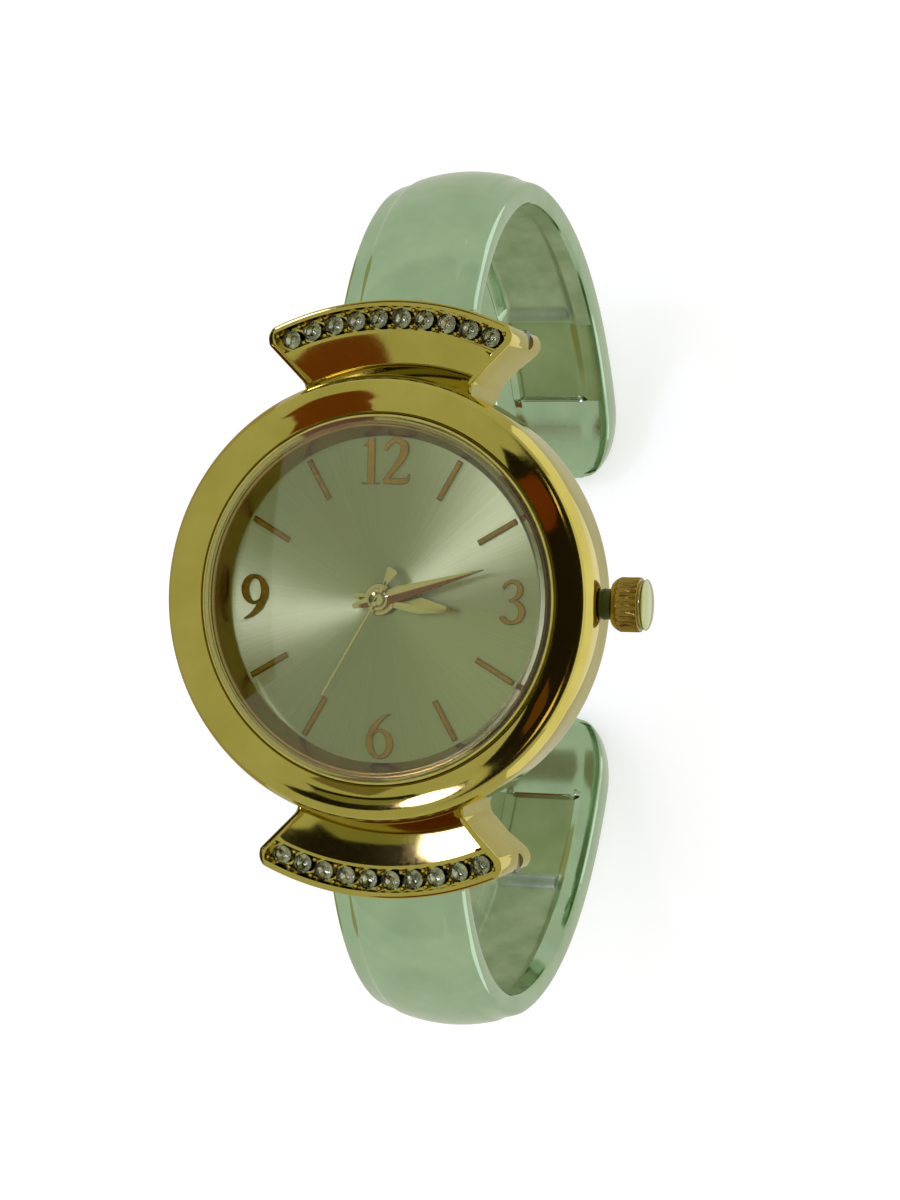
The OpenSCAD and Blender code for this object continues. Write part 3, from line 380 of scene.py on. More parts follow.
# %% Lamp and sky
lamp_size, lamp_far, sky_level = (0.05, 0.12), 0.5, 0.95
lamp_at, long_from, long_to = (146, 59), (140, 53), (155, 64)
lamp = bpy.data.lights.new("window lamp", "AREA")
lamp.shape = "ELLIPSE"
lamp.size, lamp.size_y = lamp_size
lamp.energy = 0.24
lamp.color = (0.58, 0.5, 1.0)
facing = towards(*lamp_at)
along = (towards(*long_to) - towards(*long_from)).normalized()
across = along.cross(facing).normalized()
window = add("window lamp", lamp)
stand(window, across, facing.cross(across), facing, facing*lamp_far)
window.visible_camera = False

world = bpy.data.worlds.new("studio")
bpy.context.scene.world = world
world.use_nodes = True
sky = world.node_tree
to_camera = add_node(sky, "LightPath", "Is Camera Ray", {})
level = add_node(sky, "Math", 0, {0: to_camera, 1: 1 - sky_level, 2: sky_level},
    operation="MULTIPLY_ADD")
wire(sky, sky.nodes["Background"], {"Color": (1, 1, 1, 1), "Strength": level})
bpy.context.scene.view_settings.view_transform = "Standard"
print("lamp of", lamp_size, "m at", lamp_far, "m")

# %% [markdown]
# Plating is never perfectly even. Under a loupe it has a faint ripple from polishing and hairlines from wear,
# and its gloss changes a little from place to place. One helper builds that for every metal here: a colour
# that drifts slightly, a roughness that follows the hairlines, and a very shallow bump.

# %% Pattern helpers
def noise_node(tree, scale, detail=3.0, stretch=(1, 1, 1)):
    here = add_node(tree, "TexCoord", "Object", {})
    place = add_node(tree, "Mapping", "Vector", {"Vector": here, "Scale": stretch})
    return add_node(tree, "TexNoise", "Fac", {"Vector": place, "Scale": scale, "Detail": detail})


def range_node(tree, source, low, high):
    return add_node(tree, "MapRange", "Result", {"Value": source, "To Min": low, "To Max": high})


def ramp_node(tree, source, low, high, start, end):
    ramp = tree.nodes.new("ShaderNodeValToRGB")
    for stop, place, colour in zip(ramp.color_ramp.elements, (start, end), (low, high)):
        stop.position = place
        stop.color = (*colour, 1)
    wire(tree, ramp, {"Fac": source})
    return ramp.outputs["Color"]


def vary(tree, patterns, dark, light, smooth, dull, depth, stops=(0.3, 0.7), strength=1.0):
    """Lets three patterns drive the colour, the roughness and the bump, each between its two ends."""
    drift, fine, relief = patterns
    colour = ramp_node(tree, drift, dark, light, *stops)
    bump = add_node(tree, "Bump", "Normal", {"Height": relief, "Distance": depth, "Strength": strength})
    wire(tree, tree.nodes["Principled BSDF"], {"Base Color": colour,
        "Roughness": range_node(tree, fine, smooth, dull), "Normal": bump})


def metal(name, dark, light, smooth, dull, ripple=1200.0, depth=0.4e-6, grain=(1, 1, 1)):
    """A plated or plain metal; its colour drifts more slowly than its ripple and its hairlines are finer."""
    material, tree, shader = blank(name, 1.0)
    drift = noise_node(tree, ripple*0.25)
    hairlines = noise_node(tree, ripple*2.5, 6.0, grain)
    waves = noise_node(tree, ripple, 4.0, grain)
    vary(tree, (drift, hairlines, waves), dark, light, smooth, dull, depth)
    return material


# %% [markdown]
# The case is gold plate and the arms are silver plate, both polished. The marks on the dial are a deeper,
# duller gold. The foil behind the stones changes most from place to place, so that no two stones look alike.

# %% Metal finishes
gold = metal("polished gold plate", (0.5, 0.42, 0.085), (0.57, 0.485, 0.115), 0.03, 0.08)
deep_gold = metal("gold of the applied marks", (0.27, 0.155, 0.012), (0.37, 0.23, 0.025), 0.12, 0.26)
silver = metal("polished silver plate", (0.42, 0.58, 0.39), (0.49, 0.66, 0.45), 0.05, 0.12)
pad = metal("smooth pad recess", (0.26, 0.35, 0.16), (0.33, 0.42, 0.21), 0.16, 0.28)
steel = metal("stainless steel", (0.42, 0.43, 0.42), (0.54, 0.55, 0.53), 0.2, 0.36, 1500.0, 0.5e-6, (1, 8, 1))
wheel_brass = metal("wheel brass", (0.55, 0.4, 0.14), (0.66, 0.5, 0.2), 0.2, 0.34)
foil = metal("foil behind the stones", (0.3, 0.32, 0.22), (0.88, 0.9, 0.74), 0.05, 0.12, 7000.0)

# %% [markdown]
# The hollow behind each arm is left as it came from the mould: lumpy, and stained in patches where plating
# reached it unevenly. The lumps and the patches have different sizes, so each gets a noise of its own.

# %% Cast floor of the hollow
cast, tree, shader = blank("cast floor of the arms", 0.85)
lumps = noise_node(tree, 1500.0, 8.0)
patches = noise_node(tree, 420.0, 5.0)
vary(tree, (patches, lumps, lumps), (0.29, 0.39, 0.22), (0.43, 0.54, 0.33), 0.3, 0.55, 16e-6, strength=0.8)
print("metals made:", [m.name for m in (gold, deep_gold, silver, pad, steel, wheel_brass, foil, cast)])

# %% [markdown]
# Holes and slots are cut from a finished mesh with exact booleans, as a drill would cut the real blank. The
# cutter is a throwaway object, so nothing but the cut piece stays in the file. Modifiers could stay live, but
# the cut mesh is easier to read when every piece is final.

# %% Cutting helper
def cut(piece, solids, sharp, operation="DIFFERENCE"):
    """Cuts each solid out of the piece, or adds it with UNION, and marks the sharp edges again."""
    for points, faces in solids:
        tool = add("cutter", solid_mesh("cutter", points, faces))
        step = piece.modifiers.new("cut", "BOOLEAN")
        step.operation = operation
        step.object = tool
        step.solver = "EXACT"
        bpy.context.view_layer.update()
        done = bpy.data.meshes.new_from_object(piece.evaluated_get(bpy.context.evaluated_depsgraph_get()))
        piece.modifiers.clear()
        piece.data = done
        bpy.data.objects.remove(tool)
    piece.data.set_sharp_from_angle(angle=math.radians(sharp))


# %% [markdown]
# The bezel of the real watch is one turned ring, polished and plated. Its top has two zones that meet in a
# fine crease: a nearly flat band that leans in to the glass and a round bead that falls away outside. Each
# zone is an arc that is set by the tilt at its two ends, because the tilt decides what the zone mirrors.

# %% Bezel
bezel_r, case_r = 16.0, 15.9
crease_r, crease_z = 15.45, 7.67
band_in_r, lip_round = 13.35, 0.2
bead_tilt, band_tilt = (48, 74), (4, 27)
lip_tilt = (band_tilt[1], 88)
seat_z, foot_z, ledge_z = 6.48, 6.32, 6.7
foot_r, bore_r = 13.55, 12.55


def tilt_radius(wide, tilt):
    """Radius of the arc that turns from the first tilt to the last over this width."""
    return wide/(math.sin(math.radians(tilt[1])) - math.sin(math.radians(tilt[0])))


def tilt_arc(r, z, radius, tilt, side, count):
    """An arc by its surface tilt in degrees; side is 1 if it falls outward and -1 if it falls inward."""
    start, end = tilt
    a = math.radians(start)
    mid_r, mid_z = r - side*radius*math.sin(a), z - radius*math.cos(a)
    tilts = [math.radians(start + (end - start)*i/count) for i in range(count + 1)]
    return [(mid_r + side*radius*math.sin(t), mid_z + radius*math.cos(t)) for t in tilts]


bead_round = tilt_radius(bezel_r - crease_r, bead_tilt)
band_round = tilt_radius(crease_r - band_in_r, band_tilt)
bead = tilt_arc(crease_r, crease_z, bead_round, bead_tilt, 1, 14)
band = tilt_arc(crease_r, crease_z, band_round, band_tilt, -1, 14)
lip = tilt_arc(*band[-1], lip_round, lip_tilt, -1, 6)
underside = [(bezel_r, 6.6), (15.97, 6.54), (case_r, seat_z + 0.01), (foot_r, seat_z), (foot_r, foot_z),
    (bore_r, foot_z), (bore_r, ledge_z), (13.16, ledge_z), (13.2, ledge_z + 0.04)]
bezel_profile = bead + underside + lip[::-1] + band[-2:0:-1]
new_piece("turned_bezel", turned(bezel_profile), "case", [gold], ["bezel"], 25)
print("bezel bead radius", round(bead_round, 2), "and inner band radius", round(band_round, 2), "mm")

# %% [markdown]
# The case has two fan-shaped lugs. A lug's top is scooped out between the bezel and the stones, and its
# border is left standing as a thin lip. It is made as a height field in rows that follow the round of the
# watch, so that the scoop, the channel and the lips come from one formula for the height.

# %% Plan of a lug
lug_r, side_line, corner_round = 21.5, 9.144, 1.0
channel_in, channel_out = 19.35, 21.05


def ease(t):
    """A smooth step from 0 to 1."""
    t = max(0.0, min(1.0, t))
    return t*t*(3 - 2*t)


def side_x(r, inset=0.0):
    """How far out the lug's straight side lies on the row at radius r, moved in by inset."""
    line = side_line + inset*math.sqrt(2)
    fillet = 0.75*(1 - ease((r - 15.3)/1.7))
    return (-line + math.sqrt(2*r*r - line*line))/2 + fillet


# The middle of the rounded corner, which touches the side and the rim, and the row where the side ends
corner_x = side_x(lug_r - corner_round, corner_round)
corner = Vector((corner_x, corner_x + side_line + corner_round*math.sqrt(2)))
corner_row = (corner + Vector((1, -1)).normalized()*corner_round).length


def place(r, inset):
    """Angle from twelve o'clock of the line that lies inset from the fan's edge, on the row at radius r."""
    if r <= corner_row:
        return math.asin(side_x(r, inset)/r)
    far = corner.length
    swing = math.acos(min(1, (r*r + far*far - corner_round**2)/(2*r*far)))
    narrower = math.asin(side_x(corner_row)/corner_row) - math.asin(side_x(corner_row, inset)/corner_row)
    return math.atan2(corner.x, corner.y) + swing - narrower


def to_edge(x, y):
    """Distance from a point of the fan in plan to its outline."""
    side = (y - abs(x) - side_line)/math.sqrt(2)
    out = lug_r - math.hypot(x, y)
    if side < corner_round and out < corner_round:
        return max(0.0, corner_round - (Vector((abs(x), y)) - corner).length)
    return max(0.0, min(side, out))


print("lug corner at", [round(v, 3) for v in corner], "mm, side ends at radius", round(corner_row, 3))

# %% [markdown]
# The rows stand close together wherever the height changes fast: at the channel of the stones, at the scoop's
# outer end and on the rounded rim. Even rows would need ten times as many points for the same crisp edges.

# %% Lug solid
lug_top, lug_low, edge_round = 5.1, -3.6, 0.14
scoop_out, channel_deep = 19.2, 0.85
lip_thin, lip_thick = 0.26, 0.45


def depth_at(r):
    """How far the middle of the lug lies below its border on the row at radius r."""
    if channel_in < r < channel_out:
        return channel_deep
    down = max(0.0, scoop_out - r)
    return 0.194*down + 0.0175*down*down


def lug_solid():
    rows = [15.0 + 0.25*i for i in range(17)]
    rows += [19.12, scoop_out, 19.25, 19.3, 19.33, channel_in, 19.38, 19.6, 19.9, corner_row, 20.3, 20.5]
    rows += [20.7, 20.9, 21.02, channel_out, 21.08, 21.12, 21.2, 21.28, 21.36, 21.42, 21.46, 21.485, lug_r]
    edges = [0, 0.012, 0.04, 0.08, 0.14]
    points = []
    for r in rows:
        wall = lip_thin + (lip_thick - lip_thin)*ease((r - 16)/3.2)
        border = [place(r, inset) for inset in edges + [wall - 0.04, wall, wall + 0.03]]
        half = border + [border[-1]*(1 - i/16) for i in range(1, 16)]
        angles = half + [0.0] + [-a for a in half[::-1]]
        for k, a in enumerate(angles):
            x, y = r*math.sin(a), r*math.cos(a)
            inside = min(k, len(angles) - 1 - k) >= len(border) - 1
            z = lug_top - (depth_at(r) if inside else 0.0)
            near = to_edge(x, y)
            if near < edge_round:
                z -= edge_round - math.sqrt(max(0.0, edge_round**2 - (edge_round - near)**2))
            points.append((x, y, z))
    n, width, low = len(rows), len(angles), len(points)
    rim = list(range(width)) + [i*width + width - 1 for i in range(1, n)]
    rim += [(n - 1)*width + j for j in range(width - 2, -1, -1)] + [i*width for i in range(n - 2, 0, -1)]
    points += [(points[i][0], points[i][1], lug_low) for i in rim]
    around = len(rim)
    walls = [(rim[i], low + i, low + (i + 1)%around, rim[(i + 1)%around]) for i in range(around)]
    return points, grid(n, width) + walls + [tuple(range(low, low + around))]


# %% [markdown]
# Below, the lug is cut to a round cheek about the hinge pin, hollowed by a pocket for the arm's root and
# drilled for the pin. Cutting keeps these three exact where the height field has no say.

# %% Lug with its pocket and pin hole
pin_y, pin_z, pin_hole_r = 19.0, 0.1, 0.72
arm_w, side_gap = 10.3, 0.2
cheek_r, pocket_r, far_x = 2.7, 2.6, 12
lug = new_piece("lug", lug_solid(), "case", [gold], (), 32)
under = [(9.0, -5), (9.0, 0.4), (13.9, 0.4), (14.3, -1.2), (15.0, -1.9), (15.9, -1.9)]
under += arc(pin_y, pin_z, cheek_r, 222, 345, 20) + [(23.0, 0.2), (23.0, -5)]
pocket = [(pin_y - pocket_r, -6), (pin_y - pocket_r, pin_z)] + arc(pin_y, pin_z, pocket_r, 180, 90, 16)[1:]
pocket += [(pin_y, 3.0), (23.0, 3.0), (23.0, -6)]
pocket_half = arm_w/2 + side_gap
cutters = [prism(under, -far_x, far_x), prism(pocket, -pocket_half, pocket_half)]
pin_hole = along_x(rod(pin_hole_r, -far_x, far_x), pin_y, pin_z)
cut(lug, [along_x(cutter, 0, 0) for cutter in cutters] + [pin_hole], 32)
print("lug faces", len(lug.data.polygons))

# %% [markdown]
# Each cuff arm is one swept casting. Its path is two bends that share their middle height, and its section is
# a raised crowned panel between low borders, with a hollow behind. The section changes along the arm: the
# wall grows, the hollow becomes a pad recess, and the end closes in a round nose. A sweep of one section
# function keeps all that in step, where separate blocks would leave seams.

# %% Path and walls of an arm
side_h, arm_crown, border_w, rim_w, web_t, nose_t = 1.9, 0.75, 1.55, 1.7, 0.9, 3.7
reach_y, bend_near, bend_far, tip_gap = 33.2, 19.5, 31, 22.8
pin_inset, root_past = 1.72, math.radians(2)
grow_from, pad_from, pad_full, pad_end = 0.35, 0.715, 0.735, 0.868
root_deep, pad_deep = 0.06, 0.38
nose_from, nose_long = 0.9, 0.104
near_y, far_y = reach_y - bend_near, reach_y - bend_far
path_z = pin_z - math.sqrt((bend_near - pin_inset)**2 - (pin_y - near_y)**2)
start_a = math.atan2(pin_z - path_z, pin_y - near_y) + root_past
end_a = -math.acos((tip_gap/2 - far_y)/(bend_far - nose_t/2))
turn_t = bend_near*start_a/(bend_near*start_a - bend_far*end_a)


def wall_at(t):
    """Thickness of the arm at t, which runs from 0 at the root to 1 at the end."""
    grown = max(0.0, t - grow_from)/(1 - grow_from)
    return side_h + (nose_t - side_h)*grown**1.4


def hollow_at(t):
    """Depth of the inner side at t: it ramps in, gets shallower, steps up to the pad recess and runs out."""
    deep = wall_at(t) - web_t
    if t < 0.09:
        return root_deep + (deep - root_deep)*ease((t - 0.045)/0.045)
    if t < pad_full:
        level = deep - 0.6*max(0, (t - 0.4)/0.32)
        return level + (pad_deep - level)*ease((t - pad_from)/(pad_full - pad_from))
    return pad_deep + 0.04*ease((t - 0.75)/0.1) - 0.36*ease((t - pad_end)/0.006)


def end_at(t):
    """How open the section still is: 1 along the arm and 0 where the nose closes."""
    return 1.0 if t < nose_from else math.sqrt(max(0, 1 - ((t - nose_from)/nose_long)**2))


def arm_point(t, x, out):
    """The point (x, out) of the section at t, bent onto the path."""
    a, middle, radius = start_a*(1 - t/turn_t), near_y, bend_near
    if t >= turn_t:
        a, middle, radius = end_a*(t - turn_t)/(1 - turn_t), far_y, bend_far
    return x, middle + (radius + out)*math.cos(a), path_z + (radius + out)*math.sin(a)


print("the arm's bends meet at", round(turn_t, 3), "of its length")

# %% [markdown]
# The section is drawn by its corners, each with the reach of its own small rounding, because a polished
# casting has no sharp edge. Every section has the same number of points, so the sweep can join them up.

# %% Section and sweep of an arm
# The corners of the hollow side come last in a section, and it has this many faces
hollow_faces = 12


def arm_section(t):
    e, h = end_at(t), wall_at(t)
    slim = 0.3 + 0.7*e
    w = arm_w/2*(0.42 + 0.58*e)
    top, low = -h/2 + h/2*slim, -h/2 - h/2*slim
    rise = arm_crown*e
    b = w - border_w*slim
    rim = w - rim_w*(0.5 + 0.5*e)
    deep = min(hollow_at(t), h*0.6)

    def crowned(x, lower=0.0):
        """Height of the outer face at x: one shallow curve from edge to edge."""
        return top + 0.03 + rise - (rise + 0.33*e)*(x/w)**2 - lower*e

    right = [(w, low, 0.4), (w, crowned(w), 0.38), (w - 0.75, crowned(w - 0.75, 0.1), 0.3)]
    right += [(b + 0.1, crowned(b + 0.1, 0.12), 0.14), (b - 0.2, crowned(b - 0.2), 0.16)]
    panel = [((b - 0.2)*k/9, crowned((b - 0.2)*k/9), 0) for k in range(8, -9, -1)]
    left = [(-x, y, reach) for x, y, reach in right[::-1]]
    hollow = [(-rim, low + 0.03, 0.1), (-rim + 0.8, low + 0.03 + deep, 0.3)]
    hollow += [(-x, y, reach) for x, y, reach in hollow[::-1]]
    return rounded(right + panel + left + hollow, 3)


def arm_solid():
    """The arm's points and faces, and the finish number of each face: outside, cast hollow or pad recess."""
    times = [i*0.0125 for i in range(57)] + [pad_from + 0.0033*i for i in range(7)]
    times += [0.75 + 0.0125*i for i in range(10)] + [pad_end, 0.87, 0.872, 0.874, 0.885]
    times += [nose_from + nose_long*math.sin(math.radians(a)) for a in range(3, 91, 6)]
    times = sorted(set(times))
    rings = [[arm_point(t, x, out) for x, out in arm_section(t)] for t in times]
    count = len(rings[0])
    finishes = [0, 0]
    for before, after in zip(times, times[1:]):
        t = (before + after)/2
        inner = 0 if not 0.05 < t < 0.873 else 1 if t < pad_full else 2
        finishes += [0]*(count - hollow_faces) + [inner]*hollow_faces
    last = [Vector(p) for p in rings[-1]]
    middle = sum((p/count for p in last), Vector((0, 0, 0)))
    along = Vector((0, math.sin(end_a), -math.cos(end_a)))
    for k in range(1, 4):
        a = math.radians(k*27)
        cap = [middle + (p - middle)*math.cos(a) + along*0.28*math.sin(a) for p in last]
        rings.append([tuple(p) for p in cap])
        finishes += [0]*count
    return *loft(rings), finishes


# %% [markdown]
# A round knuckle is added at the root, then it is drilled for the pin and slotted for the spring. The second
# arm is the first one turned half round the dial, so the two can never differ.

# %% Both arms
knuckle_r, bore_of_arm_r, spring_bore_r = 2.3, 0.75, 1.75
spring_turns, spring_wire, spring_pitch = 7, 0.4, 1.06
slot_long, slot_high = 3.3, 3
spring_half = spring_turns*spring_wire*spring_pitch/2 + 0.25
knuckle_half = arm_w/2 - 0.03
half_round = Matrix.Rotation(math.pi, 4, "Z")

*arm, arm_finishes = arm_solid()
upper_arm = new_piece("upper_cuff_cast", arm, "upper_cuff", [silver, cast, pad],
    ["upper_cuff_arm"], 28, arm_finishes)
cut(upper_arm, [along_x(rod(knuckle_r, -knuckle_half, knuckle_half, 64), pin_y, pin_z)], 28, "UNION")
slot_y, slot_z = pin_y - slot_long, pin_z - slot_high
slot = [(slot_y, slot_z), (pin_y, slot_z), (pin_y, pin_z), (slot_y, pin_z)]
cut(upper_arm, [along_x(rod(bore_of_arm_r, -far_x, far_x), pin_y, pin_z),
    along_x(rod(spring_bore_r, -spring_half, spring_half), pin_y, pin_z),
    along_x(prism(slot, -spring_half, spring_half), 0, 0)], 28)
lower_mesh = upper_arm.data.copy()
lower_mesh.transform(half_round)
as_piece("lower_cuff_cast", lower_mesh, "lower_cuff", ["lower_cuff_arm"])
print("arm faces", len(upper_arm.data.polygons))

# %% [markdown]
# The dial is a thin stamped disc with a sunray finish: fine brush lines that all run through the centre. They
# spread a highlight across themselves, so light shows as a bow tie that stays put while the watch turns. An
# anisotropic metal with a circular tangent does this without modelling a line, and thin streaks break it up.

# %% Dial finish
sunray, tree, shader = blank("sunray dial", 1.0)
tangent = add_node(tree, "Tangent", "Tangent", {}, direction_type="RADIAL", axis="Z")
wire(tree, shader, {"Anisotropic": 0.9, "Tangent": tangent})
here = add_node(tree, "TexCoord", "Object", {})
flat = add_node(tree, "VectorMath", "Vector", {0: here, 1: (1, 1, 0)}, operation="MULTIPLY")
outward = add_node(tree, "VectorMath", "Vector", {0: flat}, operation="NORMALIZE")
brushing = {"Vector": outward, "Scale": 46.0, "Detail": 8.0, "Roughness": 0.75}
streaks = add_node(tree, "TexNoise", "Fac", brushing)
vary(tree, [streaks]*3, (0.35, 0.39, 0.15), (0.44, 0.48, 0.22), 0.27, 0.4, 0.8e-6, (0.25, 0.75))
print("dial finish:", len(tree.nodes), "nodes")

# %% [markdown]
# The dial stands on two short pegs in the movement. The gold ring round it slopes up to the glass and hides
# the gap between them, which is its task on the real watch too.

# %% Dial and its ring
dial_z, dial_r, dial_t, dial_hole_r, visible_r = 5.0, 13.5, 0.4, 1.05, 11.7
peg_r, peg_low, peg_high, peg_off, peg_angles = 0.35, 3.7, 4.7, 8, (110, 290)
dial_low = dial_z - dial_t
dial_profile = [(dial_hole_r, dial_low), (dial_r, dial_low), (dial_r, dial_z - 0.03), (dial_r - 0.03, dial_z),
    (dial_hole_r + 0.05, dial_z), (dial_hole_r, dial_z - 0.05)]
pegs = [moved(rod(peg_r, peg_low, peg_high, 24), x, y) for x, y in arc(0, 0, peg_off, *peg_angles, 1)]
dial = joined(turned(dial_profile), *pegs)
new_piece("sunray_dial", dial, "case", [sunray], ["dial"], 30)

ring_gold = metal("brushed gold of the dial ring", (0.36, 0.22, 0.04), (0.44, 0.29, 0.07), 0.16, 0.26, 1500.0,
    0.1e-6)
slope = rounded([(visible_r, dial_z, 0), (visible_r, dial_z + 0.22, 0.08), (12.32, 6.63, 0.06),
    (12.5, 6.65, 0.03), (12.5, 6.27, 0)], 4)
ring_profile = slope + [(dial_r - 0.05, 6.27), (dial_r, 6.22), (dial_r, dial_z)]
new_piece("sloping_dial_ring", turned(ring_profile), "case", [ring_gold], ["dial_ring"], 30)
print("dial", 2*dial_r, "mm wide,", 2*visible_r, "mm of it in sight")

# %% [markdown]
# Batons are small chamfered bars, and the numerals are raised strokes of changing width, as a type cutter
# draws them: a few places along the pen's path, each with the width there. A font would be quicker, but its
# shapes would be someone else's, and a smooth curve through a few marks stays easy to change.

# %% Strokes and bars
mark_high, stroke_drop = 0.2, 0.004
foot_share, flat_share = 0.58, 0.25


def bar(x, y0, y1, z0, z1, chamfer):
    """A bar from -x to x with its four upper edges chamfered."""
    levels = ((0, z0), (0, z1 - chamfer), (chamfer, z1))
    return loft([[(-x + c, y0 + c, z), (x - c, y0 + c, z), (x - c, y1 - c, z), (-x + c, y1 - c, z)]
        for c, z in levels])


def smooth_path(marks, per=6):
    """A smooth curve through the marks, with per steps between two of them."""
    path = []
    for i in range(len(marks) - 1):
        around = [marks[max(0, min(len(marks) - 1, i + k))] for k in (-1, 0, 1, 2)]
        for k in range(per):
            t = k/per
            path.append([0.5*(2*b + (c - a)*t + (2*a - 5*b + 4*c - d)*t*t + (3*b - a - 3*c + d)*t**3)
                for a, b, c, d in zip(*around)])
    return path + [list(marks[-1])]


def pen_stroke(marks, size, origin, top, edge=0.045):
    """A raised stroke through (x, y, width) marks, its edges chamfered like a stamped numeral."""
    path, rings = smooth_path(marks), []
    for i, (x, y, width) in enumerate(path):
        before, after = path[max(0, i - 1)], path[min(len(path) - 1, i + 1)]
        along = Vector((after[0] - before[0], after[1] - before[1])).normalized()
        foot = foot_share*width
        flat = max(flat_share*width, foot - edge/size)
        right_side = [(flat, top), (foot, top - edge), (foot, dial_z)]
        section = right_side + [(-half, z) for half, z in right_side[::-1]]
        rings.append([(origin[0] + size*(x - half*along.y), origin[1] + size*(y + half*along.x), z)
            for half, z in section])
    return loft(rings)


# %% [markdown]
# Eight batons and four numerals are pressed onto the dial. A figure is written here as its pen strokes on a
# field of height one, and is scaled and placed afterwards. The nine is the six turned half round.

# %% Batons and numerals
one_strokes = [[(0.0, -0.5, 0.15), (0.0, 0.0, 0.15), (0.0, 0.5, 0.13)],
    [(-0.17, 0.33, 0.02), (-0.08, 0.37, 0.06), (0.03, 0.46, 0.08)],
    [(-0.2, -0.485, 0.03), (0.2, -0.485, 0.03)]]
two_strokes = [[(-0.25, 0.22, 0.05), (-0.2, 0.34, 0.09), (-0.03, 0.455, 0.09), (0.15, 0.38, 0.15),
    (0.18, 0.22, 0.17), (0.08, 0.0, 0.13), (-0.12, -0.25, 0.1), (-0.27, -0.45, 0.06)],
    [(-0.3, -0.44, 0.1), (0.0, -0.44, 0.12), (0.2, -0.43, 0.11), (0.27, -0.35, 0.06), (0.3, -0.28, 0.02)]]
three_strokes = [[(-0.23, 0.29, 0.05), (-0.15, 0.4, 0.07), (0.0, 0.46, 0.08), (0.15, 0.37, 0.11),
    (0.16, 0.22, 0.12), (0.08, 0.1, 0.08), (-0.08, 0.035, 0.04)],
    [(-0.08, 0.035, 0.04), (0.1, -0.01, 0.09), (0.21, -0.17, 0.14), (0.16, -0.36, 0.12), (0.0, -0.45, 0.08),
    (-0.14, -0.43, 0.1), (-0.23, -0.35, 0.12), (-0.24, -0.3, 0.05)]]
six_strokes = [[(0.24, 0.49, 0.02), (0.08, 0.41, 0.07), (-0.1, 0.24, 0.12), (-0.22, 0.0, 0.14),
    (-0.235, -0.2, 0.14), (-0.15, -0.39, 0.1), (0.0, -0.46, 0.08), (0.15, -0.4, 0.11), (0.235, -0.2, 0.14),
    (0.18, 0.02, 0.12), (0.04, 0.13, 0.07), (-0.1, 0.09, 0.05), (-0.2, -0.03, 0.04)]]
nine_strokes = [[(-x, -y, width) for x, y, width in marks] for marks in six_strokes]
numerals = [(one_strokes, 3.3, (-0.98, 9.9)), (two_strokes, 3.3, (0.92, 9.9)),
    (three_strokes, 3.2, (9.76, 0)), (six_strokes, 3.25, (0.05, -9.8)), (nine_strokes, 3.25, (-9.78, 0))]

baton = bar(0.21, 8.25, 11.45, dial_z, dial_z + mark_high, 0.09)
batons = [spun(baton, 30*hour) for hour in range(1, 12) if hour%3]
new_piece("batons", joined(*batons), "case", [deep_gold], ["hour_markers"], 20)

# Strokes that cross differ a little in height, so that no two of their tops lie in one plane
strokes = [pen_stroke(marks, size, origin, dial_z + mark_high - stroke_drop*number)
    for figure, size, origin in numerals for number, marks in enumerate(figure)]
new_piece("applied_numerals", joined(*strokes), "case", [deep_gold], ["numerals"], 20)
print(len(batons), "batons and", len(strokes), "numeral strokes")

# %% [markdown]
# Hands of this kind are stamped with a ridge along the middle, so that one flank is always lighter than the
# other and the time can be read at a glance. Each flank is a plane here, with a thin upright rim below it.
# The second hand is a flat needle with a paddle for its tail.

# %% Hands
bright_gold = metal("gold of the hands", (0.55, 0.5, 0.17), (0.63, 0.57, 0.21), 0.06, 0.16)
hour_z, minute_z, second_z = 5.45, 5.87, 6.27
hour_at, minute_at, second_at = 97, 74, 210
hand_rise, hand_rim, hub_high = 0.24, 0.1, 0.23
drill_gap, drill_low, drill_high = 0.001, 5.0, 7.0


def ridged_hand(length, tail, wide, at, tip, waist, z):
    """A ridged hand along +Y that is widest at one place and has a waist on the middle of the dial."""
    near_tip = tip + (wide - tip)*0.9/(length - at)
    stations = [(-tail, 0.3), (-tail + 0.25, 0.42), (-0.9, waist*0.8), (0.0, waist), (at, wide),
        (length - 0.9, near_tip), (length - 0.12, tip), (length, tip*0.4)]
    rings = []
    for y, wide_here in stations:
        peak = z + (hand_rise if -tail < y < length else hand_rim + 0.01)
        w, rim = wide_here/2, z + hand_rim
        rings.append([(-w, y, z), (w, y, z), (w, y, rim), (0, y, peak), (-w, y, rim)])
    return loft(rings)


def hollow_hand(name, stands_for, body, hand, clockwise, z, bore, hub_r, bevel):
    """A hand with a bevelled hub round its hole."""
    hub = [(bore, z), (hub_r - bevel + 0.02, z), (hub_r, z + bevel - 0.01), (hub_r, z + 0.17),
        (hub_r - bevel, z + hub_high), (bore, z + hub_high)]
    piece = new_piece(name, spun(hand, clockwise), body, [bright_gold], [stands_for], 12)
    cut(piece, [turned(hub, 48)], 20, "UNION")
    cut(piece, [rod(bore + drill_gap, drill_low, drill_high)], 20)


hour = ridged_hand(5.93, 2.0, 1.2, 3.02, 0.14, 0.7, hour_z)
minute = ridged_hand(8.18, 1.97, 1.15, 0.95, 0.1, 0.9, minute_z)
hollow_hand("ridged_hour_hand", "hour_hand", "hours", hour, hour_at, hour_z, 0.952, 1.15, 0.05)
hollow_hand("ridged_minute_hand", "minute_hand", "minutes", minute, minute_at, minute_z, 0.622, 0.8, 0.04)

